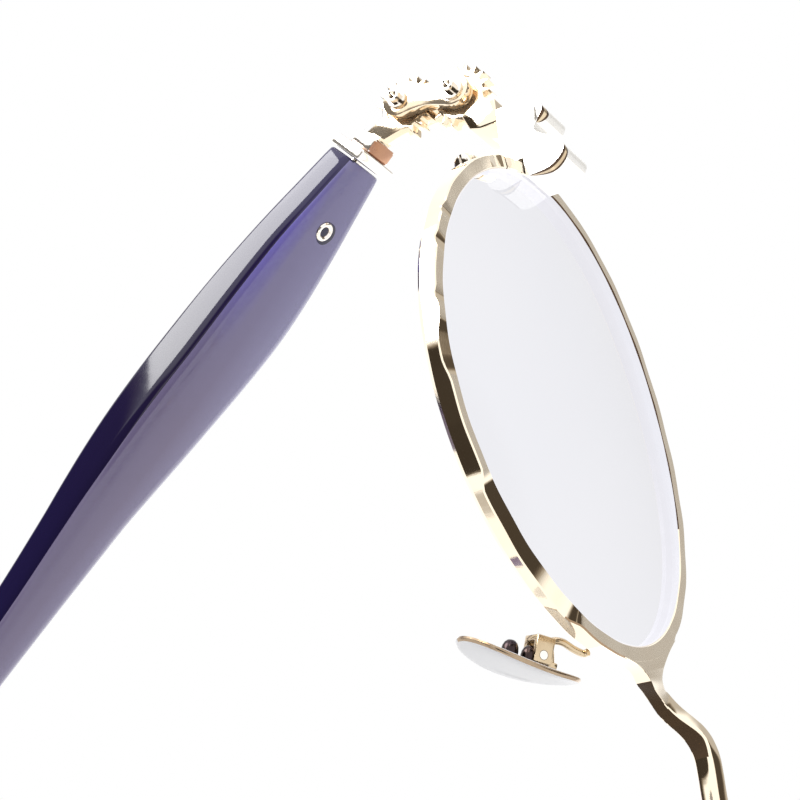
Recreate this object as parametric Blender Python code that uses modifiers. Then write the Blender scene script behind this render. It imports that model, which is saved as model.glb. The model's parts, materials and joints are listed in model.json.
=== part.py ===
"""Round metal eyeglasses: hand-cut rims, geared double-pivot hinges and thick acetate temples.

Worn orientation, in metres: +X to the wearer's left, +Y back along the temples, +Z up.
The origin is the middle of the bridge's flat underside.
Each eye has a frame of its own: u outward from the lens centre, y back from the rim's front, z up.
Side pieces are drawn for the left eye and mirrored for the right one.
"""
import math

import bmesh
import bpy
from mathutils import Matrix, Vector

MM = 0.001
TAU = 2 * math.pi
CLEARANCE = 0.25 * MM
PIVOT_CLEARANCE = 0.2 * MM
AXIS_MARK = 5.0 * MM

# Eye spacing and rims
EYE_SPACING = 68.0 * MM
OPENING_RADIUS = 23.0 * MM
LOBE_SHARE = 0.0274
LOBE_ANGLE = math.radians(16.6)
RIM_WIDTH = 1.44 * MM
RIM_DEPTH = 2.0 * MM
RIM_FACETS = 40
RIM_SPLIT_ANGLE = math.radians(-16)
RIM_SPLIT = 0.3 * MM
RIM_FOOT_CUT = 0.12 * MM
GROOVE_DEPTH = 0.75 * MM
GROOVE_HALF_WIDTH = 0.55 * MM

# Lenses
LENS_EDGE = 1.4 * MM
LENS_BULGE = 1.4 * MM
LENS_SETBACK = 0.3 * MM
LENS_RING_SHARES = (0.36, 0.7)
LENS_SEGMENTS = 60

# Bridge
BRIDGE_BELOW_TOP = 6.1 * MM
BRIDGE_FORWARD = 1.2 * MM
BRIDGE_HEIGHT = 1.9 * MM
BRIDGE_DEPTH = 2.0 * MM
BRIDGE_CHAMFER = 0.3 * MM
BRIDGE_FLAT = 4.0 * MM
BRIDGE_ROOT_ANGLE = math.radians(154.4)
BRIDGE_ROOT_SPAN = 5.2 * MM
BRIDGE_ROOT_LENGTH = 2.2 * MM
BRIDGE_STATIONS = 11

# Endpieces
ENDPIECE_LOW = 2.6 * MM
ENDPIECE_HIGH = 2.4 * MM
ENDPIECE_LENGTH = 6.2 * MM
ENDPIECE_BACK = 2.05 * MM
ENDPIECE_WAVE = 4.3 * MM
ENDPIECE_BEVEL = 0.3 * MM

# Closing blocks behind the rims
CLOSING_RADIUS = 1.0 * MM
CLOSING_LENGTH = 2.5 * MM
CLOSING_SCREW_RADIUS = 0.42 * MM
CLOSING_HEAD_LENGTH = 0.7 * MM

# Hinges
PIVOT_OUTBOARD = 4.35 * MM
PIVOT_SETBACK = 6.5 * MM
GEAR_PITCH_RADIUS = 3.06 * MM
GEAR_TEETH = 18
GEAR_ADDENDUM = 0.28 * MM
GEAR_DEDENDUM = 0.46 * MM
GEAR_THICKNESS = 1.6 * MM
GEAR_BACKLASH = 0.16 * MM
GEAR_DISH_RADIUS = 2.15 * MM
GEAR_DISH_DEPTH = 0.25 * MM
NECK_ANGLE = math.radians(211.5)
TEMPLE_NECK_ROOT_ANGLE = math.radians(32)
NECK_LENGTH = 3.4 * MM
NECK_HALF_WIDTH = 1.15 * MM
BRACKET_HALF_WIDTH = 1.3 * MM
LINK_THICKNESS = 1.15 * MM
LINK_END_RADIUS = 1.7 * MM
LINK_WAIST = 1.15 * MM
LINK_OPEN_ANGLE = math.radians(31.3)
PIN_RADIUS = 0.62 * MM
PIN_TIP = 3.45 * MM
PIN_HOLLOW_RADIUS = 0.32 * MM
PIN_HOLLOW_DEPTH = 0.7 * MM
FRAME_PIN_COLLAR_RADIUS = 1.2 * MM
TEMPLE_PIN_COLLAR_RADIUS = 0.95 * MM
COLLAR_HEIGHT = 0.45 * MM
NUT_RADIUS = 1.3 * MM
NUT_HEIGHT = 0.5 * MM
PIVOT_SEGMENTS = 20

# Temple metal, along the temple from the hinge's temple pin
TEMPLE_OFFSET = 1.15 * MM
STEM_START = 4.3 * MM
STEM_LENGTH = 1.45 * MM
STEM_WIDTH = 2.75 * MM
STEM_HEIGHT = 3.8 * MM
FERRULE_LENGTH = 1.2 * MM
FERRULE_RIM = 0.2 * MM
METAL_BEVEL = 0.25 * MM

# Acetate temples: (share of the straight run, height, thickness, sag of the middle line)
BLADE_STRAIGHT = 92.0 * MM
BLADE_SHAPE = (
    (0.000, 5.6 * MM, 3.9 * MM, 0.00 * MM),
    (0.050, 7.2 * MM, 4.1 * MM, 0.00 * MM),
    (0.100, 8.8 * MM, 4.3 * MM, 0.00 * MM),
    (0.150, 9.9 * MM, 4.6 * MM, 0.00 * MM),
    (0.205, 10.5 * MM, 4.9 * MM, 0.10 * MM),
    (0.260, 10.4 * MM, 5.1 * MM, 0.40 * MM),
    (0.315, 10.1 * MM, 5.1 * MM, 0.80 * MM),
    (0.370, 9.6 * MM, 5.0 * MM, 1.10 * MM),
    (0.420, 8.9 * MM, 4.8 * MM, 1.25 * MM),
    (0.470, 8.2 * MM, 4.4 * MM, 1.25 * MM),
    (0.520, 7.6 * MM, 4.0 * MM, 1.10 * MM),
    (0.620, 6.5 * MM, 3.6 * MM, 0.90 * MM),
    (0.760, 5.8 * MM, 3.4 * MM, 0.90 * MM),
    (1.000, 5.8 * MM, 3.3 * MM, 0.90 * MM),
)
BLADE_EDGE_RADIUS = 0.8 * MM
BLADE_BEND_RADIUS = 50.0 * MM
BLADE_BEND_ANGLE = math.radians(42)
BLADE_BEND_STATIONS = 8
TIP_HEIGHT = 8.2 * MM
TIP_THICKNESS = 3.2 * MM
TIP_ROUND_STATIONS = 4
TIP_FIT_ROUNDS = 3
CORE_RADIUS = 0.65 * MM
CORE_LENGTH = 68.0 * MM
CORE_DROP = 0.5 * MM
RIVET_STATION = 8.2 * MM
RIVET_RISE = 0.9 * MM
RIVET_RADIUS = 1.1 * MM
RIVET_DEPTH = 0.9 * MM
RIVET_PROUD = 0.25 * MM

# Nose pads: the pivot's place by the rim's opening, and the pad about that pivot
PAD_PIVOT_BEYOND = 0.6 * MM
PAD_PIVOT_BACK = 5.1 * MM
PAD_PIVOT_DROP = 4.3 * MM
PAD_TILT = math.radians(31)
PAD_SPLAY = math.radians(20)
PAD_LENGTH = 12.4 * MM
PAD_WIDTH = 7.0 * MM
PAD_THICKNESS = 0.8 * MM
PAD_STANDOFF = 1.6 * MM
PAD_CENTRE_DROP = 0.9 * MM
PAD_SEGMENTS = 28
LUG_RADIUS = 0.95 * MM
LUG_THICKNESS = 0.8 * MM
BOX_WALL = 0.5 * MM
BOX_HALF_HEIGHT = 1.1 * MM
PAD_SCREW_RADIUS = 0.4 * MM
PAD_SCREW_HEAD_RADIUS = 0.75 * MM
PAD_SCREW_HEAD_HEIGHT = 0.55 * MM
ARM_WIRE_RADIUS = 0.5 * MM
ARM_FOOT_ANGLE = math.radians(182)
ARM_REACH_BACK = 2.1 * MM

# Rest pose: how far each temple is folded in
REST_FOLD = {"left": 0.0, "right": math.radians(40)}

# What follows from the sizes above
BRIDGE_RISE = OPENING_RADIUS - BRIDGE_BELOW_TOP
LENS_X = EYE_SPACING / 2
PAD_PIVOT_INWARD = OPENING_RADIUS + PAD_PIVOT_BEYOND
LENS_Y = BRIDGE_FORWARD
LENS_Z = -(BRIDGE_RISE - BRIDGE_HEIGHT / 2)
LINK_LENGTH = 2 * GEAR_PITCH_RADIUS
LINK_INNER = GEAR_THICKNESS / 2 + CLEARANCE
LINK_OUTER = LINK_INNER + LINK_THICKNESS
FERRULE_START = STEM_START + STEM_LENGTH + CLEARANCE
BLADE_START = FERRULE_START + FERRULE_LENGTH + CLEARANCE
SIDES = {"left": 1, "right": -1}


def clear_scene():
    """Empty the file of whatever objects it holds."""
    for obj in list(bpy.data.objects):
        bpy.data.objects.remove(obj, do_unlink=True)


def make_material(name, colour, metallic, roughness, alpha=1.0, transmission=0.0):
    """A Principled material in one colour."""
    material = bpy.data.materials.new(name)
    material.use_nodes = True
    shader = material.node_tree.nodes["Principled BSDF"]
    shader.inputs["Base Color"].default_value = (*colour, 1.0)
    shader.inputs["Metallic"].default_value = metallic
    shader.inputs["Roughness"].default_value = roughness
    shader.inputs["Alpha"].default_value = alpha
    shader.inputs["Transmission Weight"].default_value = transmission
    material.diffuse_color = (*colour, alpha)
    return material


def mesh_from(bm, name="shape"):
    """Turn a bmesh into a mesh with outward faces."""
    bmesh.ops.recalc_face_normals(bm, faces=bm.faces)
    mesh = bpy.data.meshes.new(name)
    bm.to_mesh(mesh)
    bm.free()
    return mesh


def evaluated(obj):
    """The mesh that an object shows, welded, with the object itself removed."""
    bpy.context.view_layer.update()
    shown = obj.evaluated_get(bpy.context.evaluated_depsgraph_get())
    mesh = bpy.data.meshes.new_from_object(shown)
    mesh.transform(obj.matrix_world)
    bpy.data.objects.remove(obj, do_unlink=True)
    bm = bmesh.new()
    bm.from_mesh(mesh)
    bmesh.ops.remove_doubles(bm, verts=bm.verts, dist=0.002 * MM)
    bm.to_mesh(mesh)
    bm.free()
    return mesh


def scratch_object(data):
    """An object that lives only while its modifiers are worked out."""
    obj = bpy.data.objects.new("scratch", data)
    bpy.context.scene.collection.objects.link(obj)
    return obj


def boolean(mesh, other, operation):
    """Cut one mesh with another, or join them."""
    body = scratch_object(mesh)
    tool = scratch_object(other)
    modifier = body.modifiers.new("boolean", "BOOLEAN")
    modifier.operation = operation
    modifier.solver = "EXACT"
    modifier.object = tool
    result = evaluated(body)
    bpy.data.objects.remove(tool, do_unlink=True)
    return result


def bevelled(mesh, width, segments=1, angle=math.radians(32)):
    """Round a mesh's sharp edges."""
    body = scratch_object(mesh)
    modifier = body.modifiers.new("bevel", "BEVEL")
    modifier.width = width
    modifier.segments = segments
    modifier.limit_method = "ANGLE"
    modifier.angle_limit = angle
    return evaluated(body)


def plate(outlines, low, high):
    """A flat plate with holes: the first outline less the others, from one height to another."""
    curve = bpy.data.curves.new("outline", "CURVE")
    curve.dimensions = "2D"
    curve.fill_mode = "BOTH"
    curve.extrude = (high - low) / 2
    for outline in outlines:
        spline = curve.splines.new("POLY")
        spline.points.add(len(outline) - 1)
        spline.use_cyclic_u = True
        for point, (x, y) in zip(spline.points, outline):
            point.co = (x, y, 0.0, 1.0)
    obj = scratch_object(curve)
    obj.location.z = (low + high) / 2
    return evaluated(obj)


def circle(radius, centre=(0.0, 0.0), segments=PIVOT_SEGMENTS):
    """Points round a circle."""
    angles = [TAU * step / segments for step in range(segments)]
    return [(centre[0] + radius * math.cos(a), centre[1] + radius * math.sin(a)) for a in angles]


def turned(profile, segments=PIVOT_SEGMENTS):
    """A turned solid about Z from (radius, height) points, top to bottom on the outer side."""
    mesh = bpy.data.meshes.new("profile")
    mesh.from_pydata([(r, 0.0, z) for r, z in profile], [(i, i + 1) for i in range(len(profile) - 1)], [])
    obj = scratch_object(mesh)
    screw = obj.modifiers.new("screw", "SCREW")
    screw.steps = segments
    screw.render_steps = segments
    screw.use_merge_vertices = True
    screw.merge_threshold = 0.001 * MM
    solid = evaluated(obj)
    bm = bmesh.new()
    bm.from_mesh(solid)
    return mesh_from(bm)


def box(size, centre):
    """A rectangular block."""
    bm = bmesh.new()
    bmesh.ops.create_cube(bm, size=1.0)
    bmesh.ops.scale(bm, vec=size, verts=bm.verts)
    bmesh.ops.translate(bm, vec=centre, verts=bm.verts)
    return mesh_from(bm)


def wire(points, radius, sides=8):
    """A round wire along a list of points."""
    curve = bpy.data.curves.new("wire", "CURVE")
    curve.dimensions = "3D"
    curve.bevel_depth = radius
    curve.bevel_resolution = (sides - 4) // 2
    curve.use_fill_caps = True
    spline = curve.splines.new("POLY")
    spline.points.add(len(points) - 1)
    for point, place in zip(spline.points, points):
        point.co = (*place, 1.0)
    return evaluated(scratch_object(curve))


def smooth_line(points, steps):
    """Points along a smooth curve through the given ones."""
    padded = [2 * Vector(points[0]) - Vector(points[1])]
    padded += [Vector(p) for p in points]
    padded += [2 * Vector(points[-1]) - Vector(points[-2])]
    line = []
    for a, b, c, d in zip(padded, padded[1:], padded[2:], padded[3:]):
        for step in range(steps):
            t = step / steps
            place = 2 * b + (c - a) * t + (2 * a - 5 * b + 4 * c - d) * t ** 2
            line.append((place + (3 * b - a - 3 * c + d) * t ** 3) / 2)
    line.append(padded[-2])
    return line


def loft(rings, closed=False):
    """Skin over rings of equal counts, with flat ends unless it closes on itself."""
    bm = bmesh.new()
    rows = [[bm.verts.new(place) for place in ring] for ring in rings]
    pairs = list(zip(rows, rows[1:]))
    if closed:
        pairs.append((rows[-1], rows[0]))
    for near, far in pairs:
        for i in range(len(near)):
            j = (i + 1) % len(near)
            bm.faces.new((near[i], near[j], far[j], far[i]))
    if not closed:
        bm.faces.new(rows[0])
        bm.faces.new(reversed(rows[-1]))
    return mesh_from(bm)


def rim_radius(angle, offset=0.0):
    """Radius of the rim's opening at an angle from straight outward, plus an offset."""
    lobes = LOBE_SHARE * math.cos(3 * (angle - LOBE_ANGLE))
    return OPENING_RADIUS * (1 + lobes) + offset


def endpiece_start():
    """How far out from the lens centre the endpieces start."""
    return rim_radius(0.0, RIM_WIDTH + CLEARANCE)


def endpiece_reach():
    """How far out the endpieces reach."""
    return endpiece_start() + ENDPIECE_LENGTH


def pivot_place():
    """Place (u, y) of the hinge's frame pin."""
    return Vector((endpiece_reach() + PIVOT_OUTBOARD, PIVOT_SETBACK))


def on_rim(angle, offset):
    """Place (u, z) beyond the rim's opening by an offset."""
    radius = rim_radius(angle, offset)
    return Vector((radius * math.cos(angle), radius * math.sin(angle)))


def facet_angles():
    """Angles of the corners between the rim's hand-cut facets, from one side of the split to the other."""
    half_split = RIM_SPLIT / (2 * rim_radius(RIM_SPLIT_ANGLE, RIM_WIDTH))
    start = RIM_SPLIT_ANGLE + half_split
    span = TAU - 2 * half_split
    return [start + span * step / RIM_FACETS for step in range(RIM_FACETS + 1)]


def rim_bottom():
    """Height, from the lens centre, of the flat filed under each rim."""
    lowest = min(on_rim(angle, RIM_WIDTH).y for angle in facet_angles())
    return lowest + RIM_FOOT_CUT


def make_rim():
    """The rim: a wire with a lens groove, flat facets outside, split at the closing block."""
    corners = facet_angles()
    foot = rim_bottom()
    middle = RIM_DEPTH / 2
    rings = []
    for index in range(2 * RIM_FACETS + 1):
        if index % 2 == 0:
            angle = corners[index // 2]
            outer = on_rim(angle, RIM_WIDTH)
        else:
            before, after = corners[index // 2], corners[index // 2 + 1]
            angle = (before + after) / 2
            outer = (on_rim(before, RIM_WIDTH) + on_rim(after, RIM_WIDTH)) / 2
        outer.y = max(outer.y, foot)
        inner = on_rim(angle, 0.0)
        bottom = on_rim(angle, GROOVE_DEPTH)
        rings.append([
            (inner.x, 0.0, inner.y),
            (outer.x, 0.0, outer.y),
            (outer.x, RIM_DEPTH, outer.y),
            (inner.x, RIM_DEPTH, inner.y),
            (inner.x, middle + GROOVE_HALF_WIDTH, inner.y),
            (bottom.x, middle, bottom.y),
            (inner.x, middle - GROOVE_HALF_WIDTH, inner.y),
        ])
    return loft(rings)


def make_lens():
    """The lens: a shallow shell with a ridged edge that sits in the rim's groove."""
    middle = RIM_DEPTH / 2
    ridge = GROOVE_DEPTH - CLEARANCE - PIVOT_CLEARANCE
    bm = bmesh.new()
    angles = [TAU * step / LENS_SEGMENTS for step in range(LENS_SEGMENTS)]

    def ring(share, face):
        row = []
        for angle in angles:
            place = on_rim(angle, -LENS_SETBACK) * share
            y = middle + face * LENS_EDGE / 2 - LENS_BULGE * (1 - share ** 2)
            row.append(bm.verts.new((place.x, y, place.y)))
        return row

    def centre(face):
        return bm.verts.new((0.0, middle + face * LENS_EDGE / 2 - LENS_BULGE, 0.0))

    ridge_row = []
    for angle in angles:
        place = on_rim(angle, ridge)
        ridge_row.append(bm.verts.new((place.x, middle, place.y)))
    rows = [ring(share, -1) for share in (*LENS_RING_SHARES, 1.0)]
    rows += [ridge_row]
    rows += [ring(share, 1) for share in (1.0, *reversed(LENS_RING_SHARES))]
    for near, far in zip(rows, rows[1:]):
        for i in range(LENS_SEGMENTS):
            j = (i + 1) % LENS_SEGMENTS
            bm.faces.new((near[i], near[j], far[j], far[i]))
    for row, face in ((rows[0], -1), (rows[-1], 1)):
        hub = centre(face)
        for i in range(LENS_SEGMENTS):
            bm.faces.new((row[i], row[(i + 1) % LENS_SEGMENTS], hub))
    return mesh_from(bm)


def bridge_line():
    """Middle line of half the bridge, in the eye's frame: (inward, back, up), rim to flat."""
    root = on_rim(BRIDGE_ROOT_ANGLE, RIM_WIDTH + CLEARANCE)
    start = Vector((-root.x, RIM_DEPTH / 2, root.y))
    end = Vector((LENS_X - BRIDGE_FLAT / 2, -BRIDGE_FORWARD, BRIDGE_RISE))
    shares = ((0, 0, 0), (0.17, 0, 0.13), (0.37, 0.23, 0.25), (0.54, 0.5, 0.42), (0.68, 0.8, 0.74),
              (0.85, 0.95, 0.93), (1, 1, 1))
    return [Vector([a + s * (b - a) for a, b, s in zip(start, end, share)]) for share in shares]


def bridge_section(place, across, half, depth_half):
    """Eight corners of the bridge's section; across is its direction of height."""
    cut = BRIDGE_CHAMFER
    corners = ((half, depth_half - cut), (half - cut, depth_half), (cut - half, depth_half),
               (-half, depth_half - cut), (-half, cut - depth_half), (cut - half, -depth_half),
               (half - cut, -depth_half), (half, cut - depth_half))
    return [(place + across * a + Vector((0, b, 0))) for a, b in corners]


def make_bridge():
    """The bridge: a bar that springs from the rims, arches up and forward, and is flat in the middle."""
    line = smooth_line(bridge_line(), 2)
    half_sections = []
    travelled = 0.0
    for index, place in enumerate(line):
        before = line[max(index - 1, 0)]
        after = line[min(index + 1, len(line) - 1)]
        travelled += (place - before).length
        along = after - before
        along.y = 0.0
        if index == len(line) - 1:
            along = Vector((1, 0, 0))
        along.normalize()
        across = Vector((-along.z, 0, along.x))
        flare = max(0.0, 1 - travelled / BRIDGE_ROOT_LENGTH) ** 2
        half = BRIDGE_HEIGHT / 2 + flare * (BRIDGE_ROOT_SPAN - BRIDGE_HEIGHT) / 2
        half_sections.append(bridge_section(place, across, half, BRIDGE_DEPTH / 2))
    half_sections[0] = [seat_on_rim(corner) for corner in half_sections[0]]
    right = [[(corner.x - LENS_X, corner.y, corner.z) for corner in ring] for ring in half_sections]
    left = [[(-x, y, z) for x, y, z in ring] for ring in reversed(right)]
    rings = right + left
    shift = Matrix.Translation((0, LENS_Y, LENS_Z))
    mesh = loft(rings)
    mesh.transform(shift)
    return mesh


def seat_on_rim(corner):
    """Move a corner of the bridge's root, in (inward, back, up), out to the rim's outer wall."""
    angle = math.atan2(corner.z, -corner.x)
    seat = on_rim(angle, RIM_WIDTH + CLEARANCE)
    return Vector((-seat.x, corner.y, seat.y))


def make_endpiece():
    """The endpiece: a milled block whose front is a wave, standing before the rim's outer edge."""
    inner = endpiece_start()
    front = -CLEARANCE
    lip = inner - RIM_WIDTH - 0.6 * MM
    reach = endpiece_reach()
    span = ENDPIECE_LENGTH
    wave = [(lip, front), (lip + 0.1 * MM, -0.62 * ENDPIECE_WAVE), (inner - 0.1 * span, -ENDPIECE_WAVE),
            (inner + 0.12 * span, -0.88 * ENDPIECE_WAVE), (inner + 0.33 * span, -0.47 * ENDPIECE_WAVE),
            (inner + 0.48 * span, -0.38 * ENDPIECE_WAVE), (inner + 0.72 * span, -0.64 * ENDPIECE_WAVE),
            (inner + 0.9 * span, -0.5 * ENDPIECE_WAVE), (reach, -0.1 * ENDPIECE_WAVE)]
    curve = [(p.x, p.y) for p in smooth_line([(u, y, 0.0) for u, y in wave], 3)]
    outline = [(inner, ENDPIECE_BACK), (inner, front)] + curve
    outline.append((reach, ENDPIECE_BACK))
    solid = plate([outline], -ENDPIECE_LOW, ENDPIECE_HIGH)
    return bevelled(solid, ENDPIECE_BEVEL, 1, math.radians(50))


def neck_face(half_width, reach):
    """Two corners of a face square to the frame gear's neck, at a reach from its pin."""
    along = Vector((math.cos(NECK_ANGLE), math.sin(NECK_ANGLE)))
    across = Vector((-along.y, along.x))
    middle = pivot_place() + along * reach
    return middle + across * half_width, middle - across * half_width


def make_bracket():
    """The bracket that carries the frame gear behind the endpiece."""
    front = ENDPIECE_BACK + CLEARANCE
    outer_corner, inner_corner = neck_face(BRACKET_HALF_WIDTH, NECK_LENGTH + CLEARANCE)
    inner_start = endpiece_reach() - 0.31 * PIVOT_OUTBOARD
    outline = [(inner_start, front), (endpiece_reach() + 0.345 * PIVOT_OUTBOARD, front),
               (outer_corner.x, outer_corner.y), (inner_corner.x, inner_corner.y),
               (inner_start + 0.27 * BRACKET_HALF_WIDTH, front + 0.8 * (inner_corner.y - front)),
               (inner_start, front + 0.5 * (inner_corner.y - front))]
    solid = plate([outline], -ENDPIECE_LOW, ENDPIECE_HIGH)
    return bevelled(solid, METAL_BEVEL)


def tooth_points(centre_angle):
    """Four corners of one pointed tooth."""
    pitch = TAU / GEAR_TEETH
    pitch_half = pitch / 4 - GEAR_BACKLASH / (2 * GEAR_PITCH_RADIUS)
    tip = GEAR_PITCH_RADIUS + GEAR_ADDENDUM
    root = GEAR_PITCH_RADIUS - GEAR_DEDENDUM
    tip_half = 0.22 * pitch_half
    root_half = 1.75 * pitch_half
    corners = ((root, -root_half), (tip, -tip_half), (tip, tip_half), (root, root_half))
    return [(r * math.cos(centre_angle + a), r * math.sin(centre_angle + a)) for r, a in corners]


def gear_outline(phase, neck, neck_angle, neck_sector):
    """A toothed outline with a neck in place of the teeth that lie in the neck's sector."""
    pitch = TAU / GEAR_TEETH
    first = math.ceil((neck_angle + neck_sector - phase) / pitch)
    last = math.floor((neck_angle - neck_sector + TAU - phase) / pitch)
    outline = []
    for index in range(first, last + 1):
        outline += tooth_points(phase + index * pitch)
    return outline + neck


def gear_solid(outline):
    """A gear plate with its pin hole and a shallow dish in each face."""
    half = GEAR_THICKNESS / 2
    blank = plate([outline, circle(PIN_RADIUS + PIVOT_CLEARANCE)], -half, half)
    for side in (-1, 1):
        low, high = sorted((side * (half - GEAR_DISH_DEPTH), side * (half + GEAR_DISH_DEPTH)))
        blank = boolean(blank, plate([circle(GEAR_DISH_RADIUS)], low, high), "DIFFERENCE")
    return blank


def make_frame_gear():
    """The fixed gear, about its pin, with the neck that joins it to the bracket."""
    outer_corner, inner_corner = neck_face(NECK_HALF_WIDTH, NECK_LENGTH)
    pivot = pivot_place()
    face = [tuple(outer_corner - pivot), tuple(inner_corner - pivot)]
    along = Vector((math.cos(NECK_ANGLE), math.sin(NECK_ANGLE)))
    root = along * (GEAR_PITCH_RADIUS - GEAR_DEDENDUM)
    across = Vector((-along.y, along.x)) * NECK_HALF_WIDTH * 1.25
    neck = [tuple(root - across), face[1], face[0], tuple(root + across)]
    phase = math.pi / 2 - LINK_OPEN_ANGLE
    return gear_solid(gear_outline(phase, neck, NECK_ANGLE, math.radians(34)))


def make_temple_gear():
    """The temple's gear, about its pin at the open pose, with the neck that meets the stem block."""
    reach = STEM_START - CLEARANCE
    inner = TEMPLE_OFFSET - 0.5 * STEM_WIDTH
    outer = TEMPLE_OFFSET + 0.28 * STEM_WIDTH
    root = GEAR_PITCH_RADIUS - GEAR_DEDENDUM
    side = root * math.sin(TEMPLE_NECK_ROOT_ANGLE)
    foot = root * math.cos(TEMPLE_NECK_ROOT_ANGLE)
    neck = [(side, foot), (outer, reach), (inner, reach), (-side, foot)]
    phase = math.pi / 2 - LINK_OPEN_ANGLE + math.pi - TAU / GEAR_TEETH / 2
    return gear_solid(gear_outline(phase, neck, math.pi / 2, math.radians(42)))


def link_outline():
    """A bone-shaped outline round both pins, from the frame pin at the origin along +Y."""
    points = []
    steps = 12
    for index in range(steps + 1):
        angle = math.radians(-205) + math.radians(230) * index / steps
        points.append((LINK_END_RADIUS * math.cos(angle), LINK_END_RADIUS * math.sin(angle)))
    points.append((LINK_WAIST, LINK_LENGTH / 2))
    far = [(-x, LINK_LENGTH - y) for x, y in points[:-1]]
    return points + far + [(-LINK_WAIST, LINK_LENGTH / 2)]


def make_link(low, high):
    """One link plate between two heights."""
    hole = PIN_RADIUS + PIVOT_CLEARANCE
    holes = [circle(hole), circle(hole, (0.0, LINK_LENGTH))]
    return plate([link_outline(), *holes], low, high)


def make_pin(collar_radius):
    """A hinge pin with a collar under the lower plate and a hollow end."""
    top = LINK_OUTER + PIVOT_CLEARANCE + NUT_HEIGHT
    collar_top = -(LINK_OUTER + PIVOT_CLEARANCE)
    profile = [(0.0, top), (PIN_RADIUS, top), (PIN_RADIUS, collar_top), (collar_radius, collar_top),
               (collar_radius, collar_top - COLLAR_HEIGHT), (PIN_RADIUS, collar_top - COLLAR_HEIGHT),
               (PIN_RADIUS, -PIN_TIP), (PIN_HOLLOW_RADIUS, -PIN_TIP),
               (PIN_HOLLOW_RADIUS, PIN_HOLLOW_DEPTH - PIN_TIP), (0.0, PIN_HOLLOW_DEPTH - PIN_TIP)]
    return turned(profile)


def make_nut():
    """A round nut on a hinge pin, above the upper plate."""
    low = LINK_OUTER + PIVOT_CLEARANCE
    return plate([circle(NUT_RADIUS), circle(PIN_RADIUS + PIVOT_CLEARANCE)], low, low + NUT_HEIGHT)


def make_stem_block():
    """The block between the temple gear and the ferrule."""
    middle = TEMPLE_OFFSET - 0.1 * STEM_WIDTH
    centre = (middle, STEM_START + STEM_LENGTH / 2, 0.0)
    return bevelled(box((STEM_WIDTH, STEM_LENGTH, STEM_HEIGHT), centre), METAL_BEVEL)


def make_ferrule():
    """The metal plate on the temple's front end."""
    height = BLADE_SHAPE[0][1] + 2 * FERRULE_RIM
    width = BLADE_SHAPE[0][2] + 2 * FERRULE_RIM
    centre = (TEMPLE_OFFSET, FERRULE_START + FERRULE_LENGTH / 2, 0.0)
    return bevelled(box((width, FERRULE_LENGTH, height), centre), METAL_BEVEL)


def blade_section(height, thickness):
    """Rounded-oblong corners (across, up) of the acetate's section."""
    radius = min(BLADE_EDGE_RADIUS, 0.45 * height, 0.45 * thickness)
    points = []
    for quarter in range(4):
        side = 1 if quarter in (0, 3) else -1
        level = 1 if quarter < 2 else -1
        for step in range(3):
            angle = math.pi / 2 * (quarter + step / 2)
            points.append((side * (thickness / 2 - radius) + radius * math.cos(angle),
                           level * (height / 2 - radius) + radius * math.sin(angle)))
    return points


def blade_rings(tip_length):
    """Sections of the acetate from its front end to its tip, for a straight run after the bend."""
    sag = BLADE_SHAPE[-1][3]
    rings = []

    def add(y, z, slope, height, thickness):
        ring = []
        for across, up in blade_section(height, thickness):
            ring.append((TEMPLE_OFFSET + across, y - up * math.sin(slope), z + up * math.cos(slope)))
        rings.append([(x, y + 0.0, z) for x, y, z in ring])

    for share, height, thickness, drop in BLADE_SHAPE:
        add(BLADE_START + share * BLADE_STRAIGHT, -drop, 0.0, height, thickness)
    start_height, start_thickness = BLADE_SHAPE[-1][1:3]
    bend_length = BLADE_BEND_RADIUS * BLADE_BEND_ANGLE
    total = bend_length + tip_length
    stops = [bend_length * step / BLADE_BEND_STATIONS for step in range(1, BLADE_BEND_STATIONS + 1)]
    round_length = TIP_HEIGHT / 2
    for step in range(TIP_ROUND_STATIONS + 1):
        turn = math.pi / 2 * step / TIP_ROUND_STATIONS
        stops.append(total - round_length * (1 - math.sin(turn)))
    for stop in stops:
        slope = min(stop, bend_length) / BLADE_BEND_RADIUS
        extra = max(0.0, stop - bend_length)
        y = BLADE_START + BLADE_STRAIGHT + BLADE_BEND_RADIUS * math.sin(slope) + extra * math.cos(slope)
        z = -sag - BLADE_BEND_RADIUS * (1 - math.cos(slope)) - extra * math.sin(slope)
        share = stop / total
        height = start_height + (TIP_HEIGHT - start_height) * share
        thickness = start_thickness + (TIP_THICKNESS - start_thickness) * share
        left = (total - stop) / round_length
        if left < 1:
            height *= max(0.3, math.sqrt(1 - (1 - left) ** 2))
            thickness *= max(0.45, math.sqrt(1 - (1 - left) ** 4))
        add(y, z, -slope, height, thickness)
    return rings


def tip_run():
    """Length of the straight run after the bend that brings the tip down to the rims' feet."""
    run = TIP_HEIGHT
    for _ in range(TIP_FIT_ROUNDS):
        lowest = min(place[2] for ring in blade_rings(run) for place in ring)
        run += (lowest - rim_bottom()) / math.sin(BLADE_BEND_ANGLE)
    return run


def make_blade():
    """The acetate temple: a thick blade with a bent-down tip, bored for its core wire and rivet."""
    solid = loft(blade_rings(tip_run()))
    bore_radius = CORE_RADIUS + CLEARANCE
    start = BLADE_START - CLEARANCE
    end = BLADE_START + CORE_LENGTH + 2 * CLEARANCE
    bore = wire([(TEMPLE_OFFSET, start, -CORE_DROP), (TEMPLE_OFFSET, end, -CORE_DROP)], bore_radius)
    solid = boolean(solid, bore, "DIFFERENCE")
    face = TEMPLE_OFFSET - rivet_thickness() / 2
    seat = RIVET_DEPTH + CLEARANCE
    hole = wire([(face - seat, rivet_y(), RIVET_RISE), (face + seat, rivet_y(), RIVET_RISE)],
                RIVET_RADIUS + CLEARANCE, 12)
    return boolean(solid, hole, "DIFFERENCE")


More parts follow.
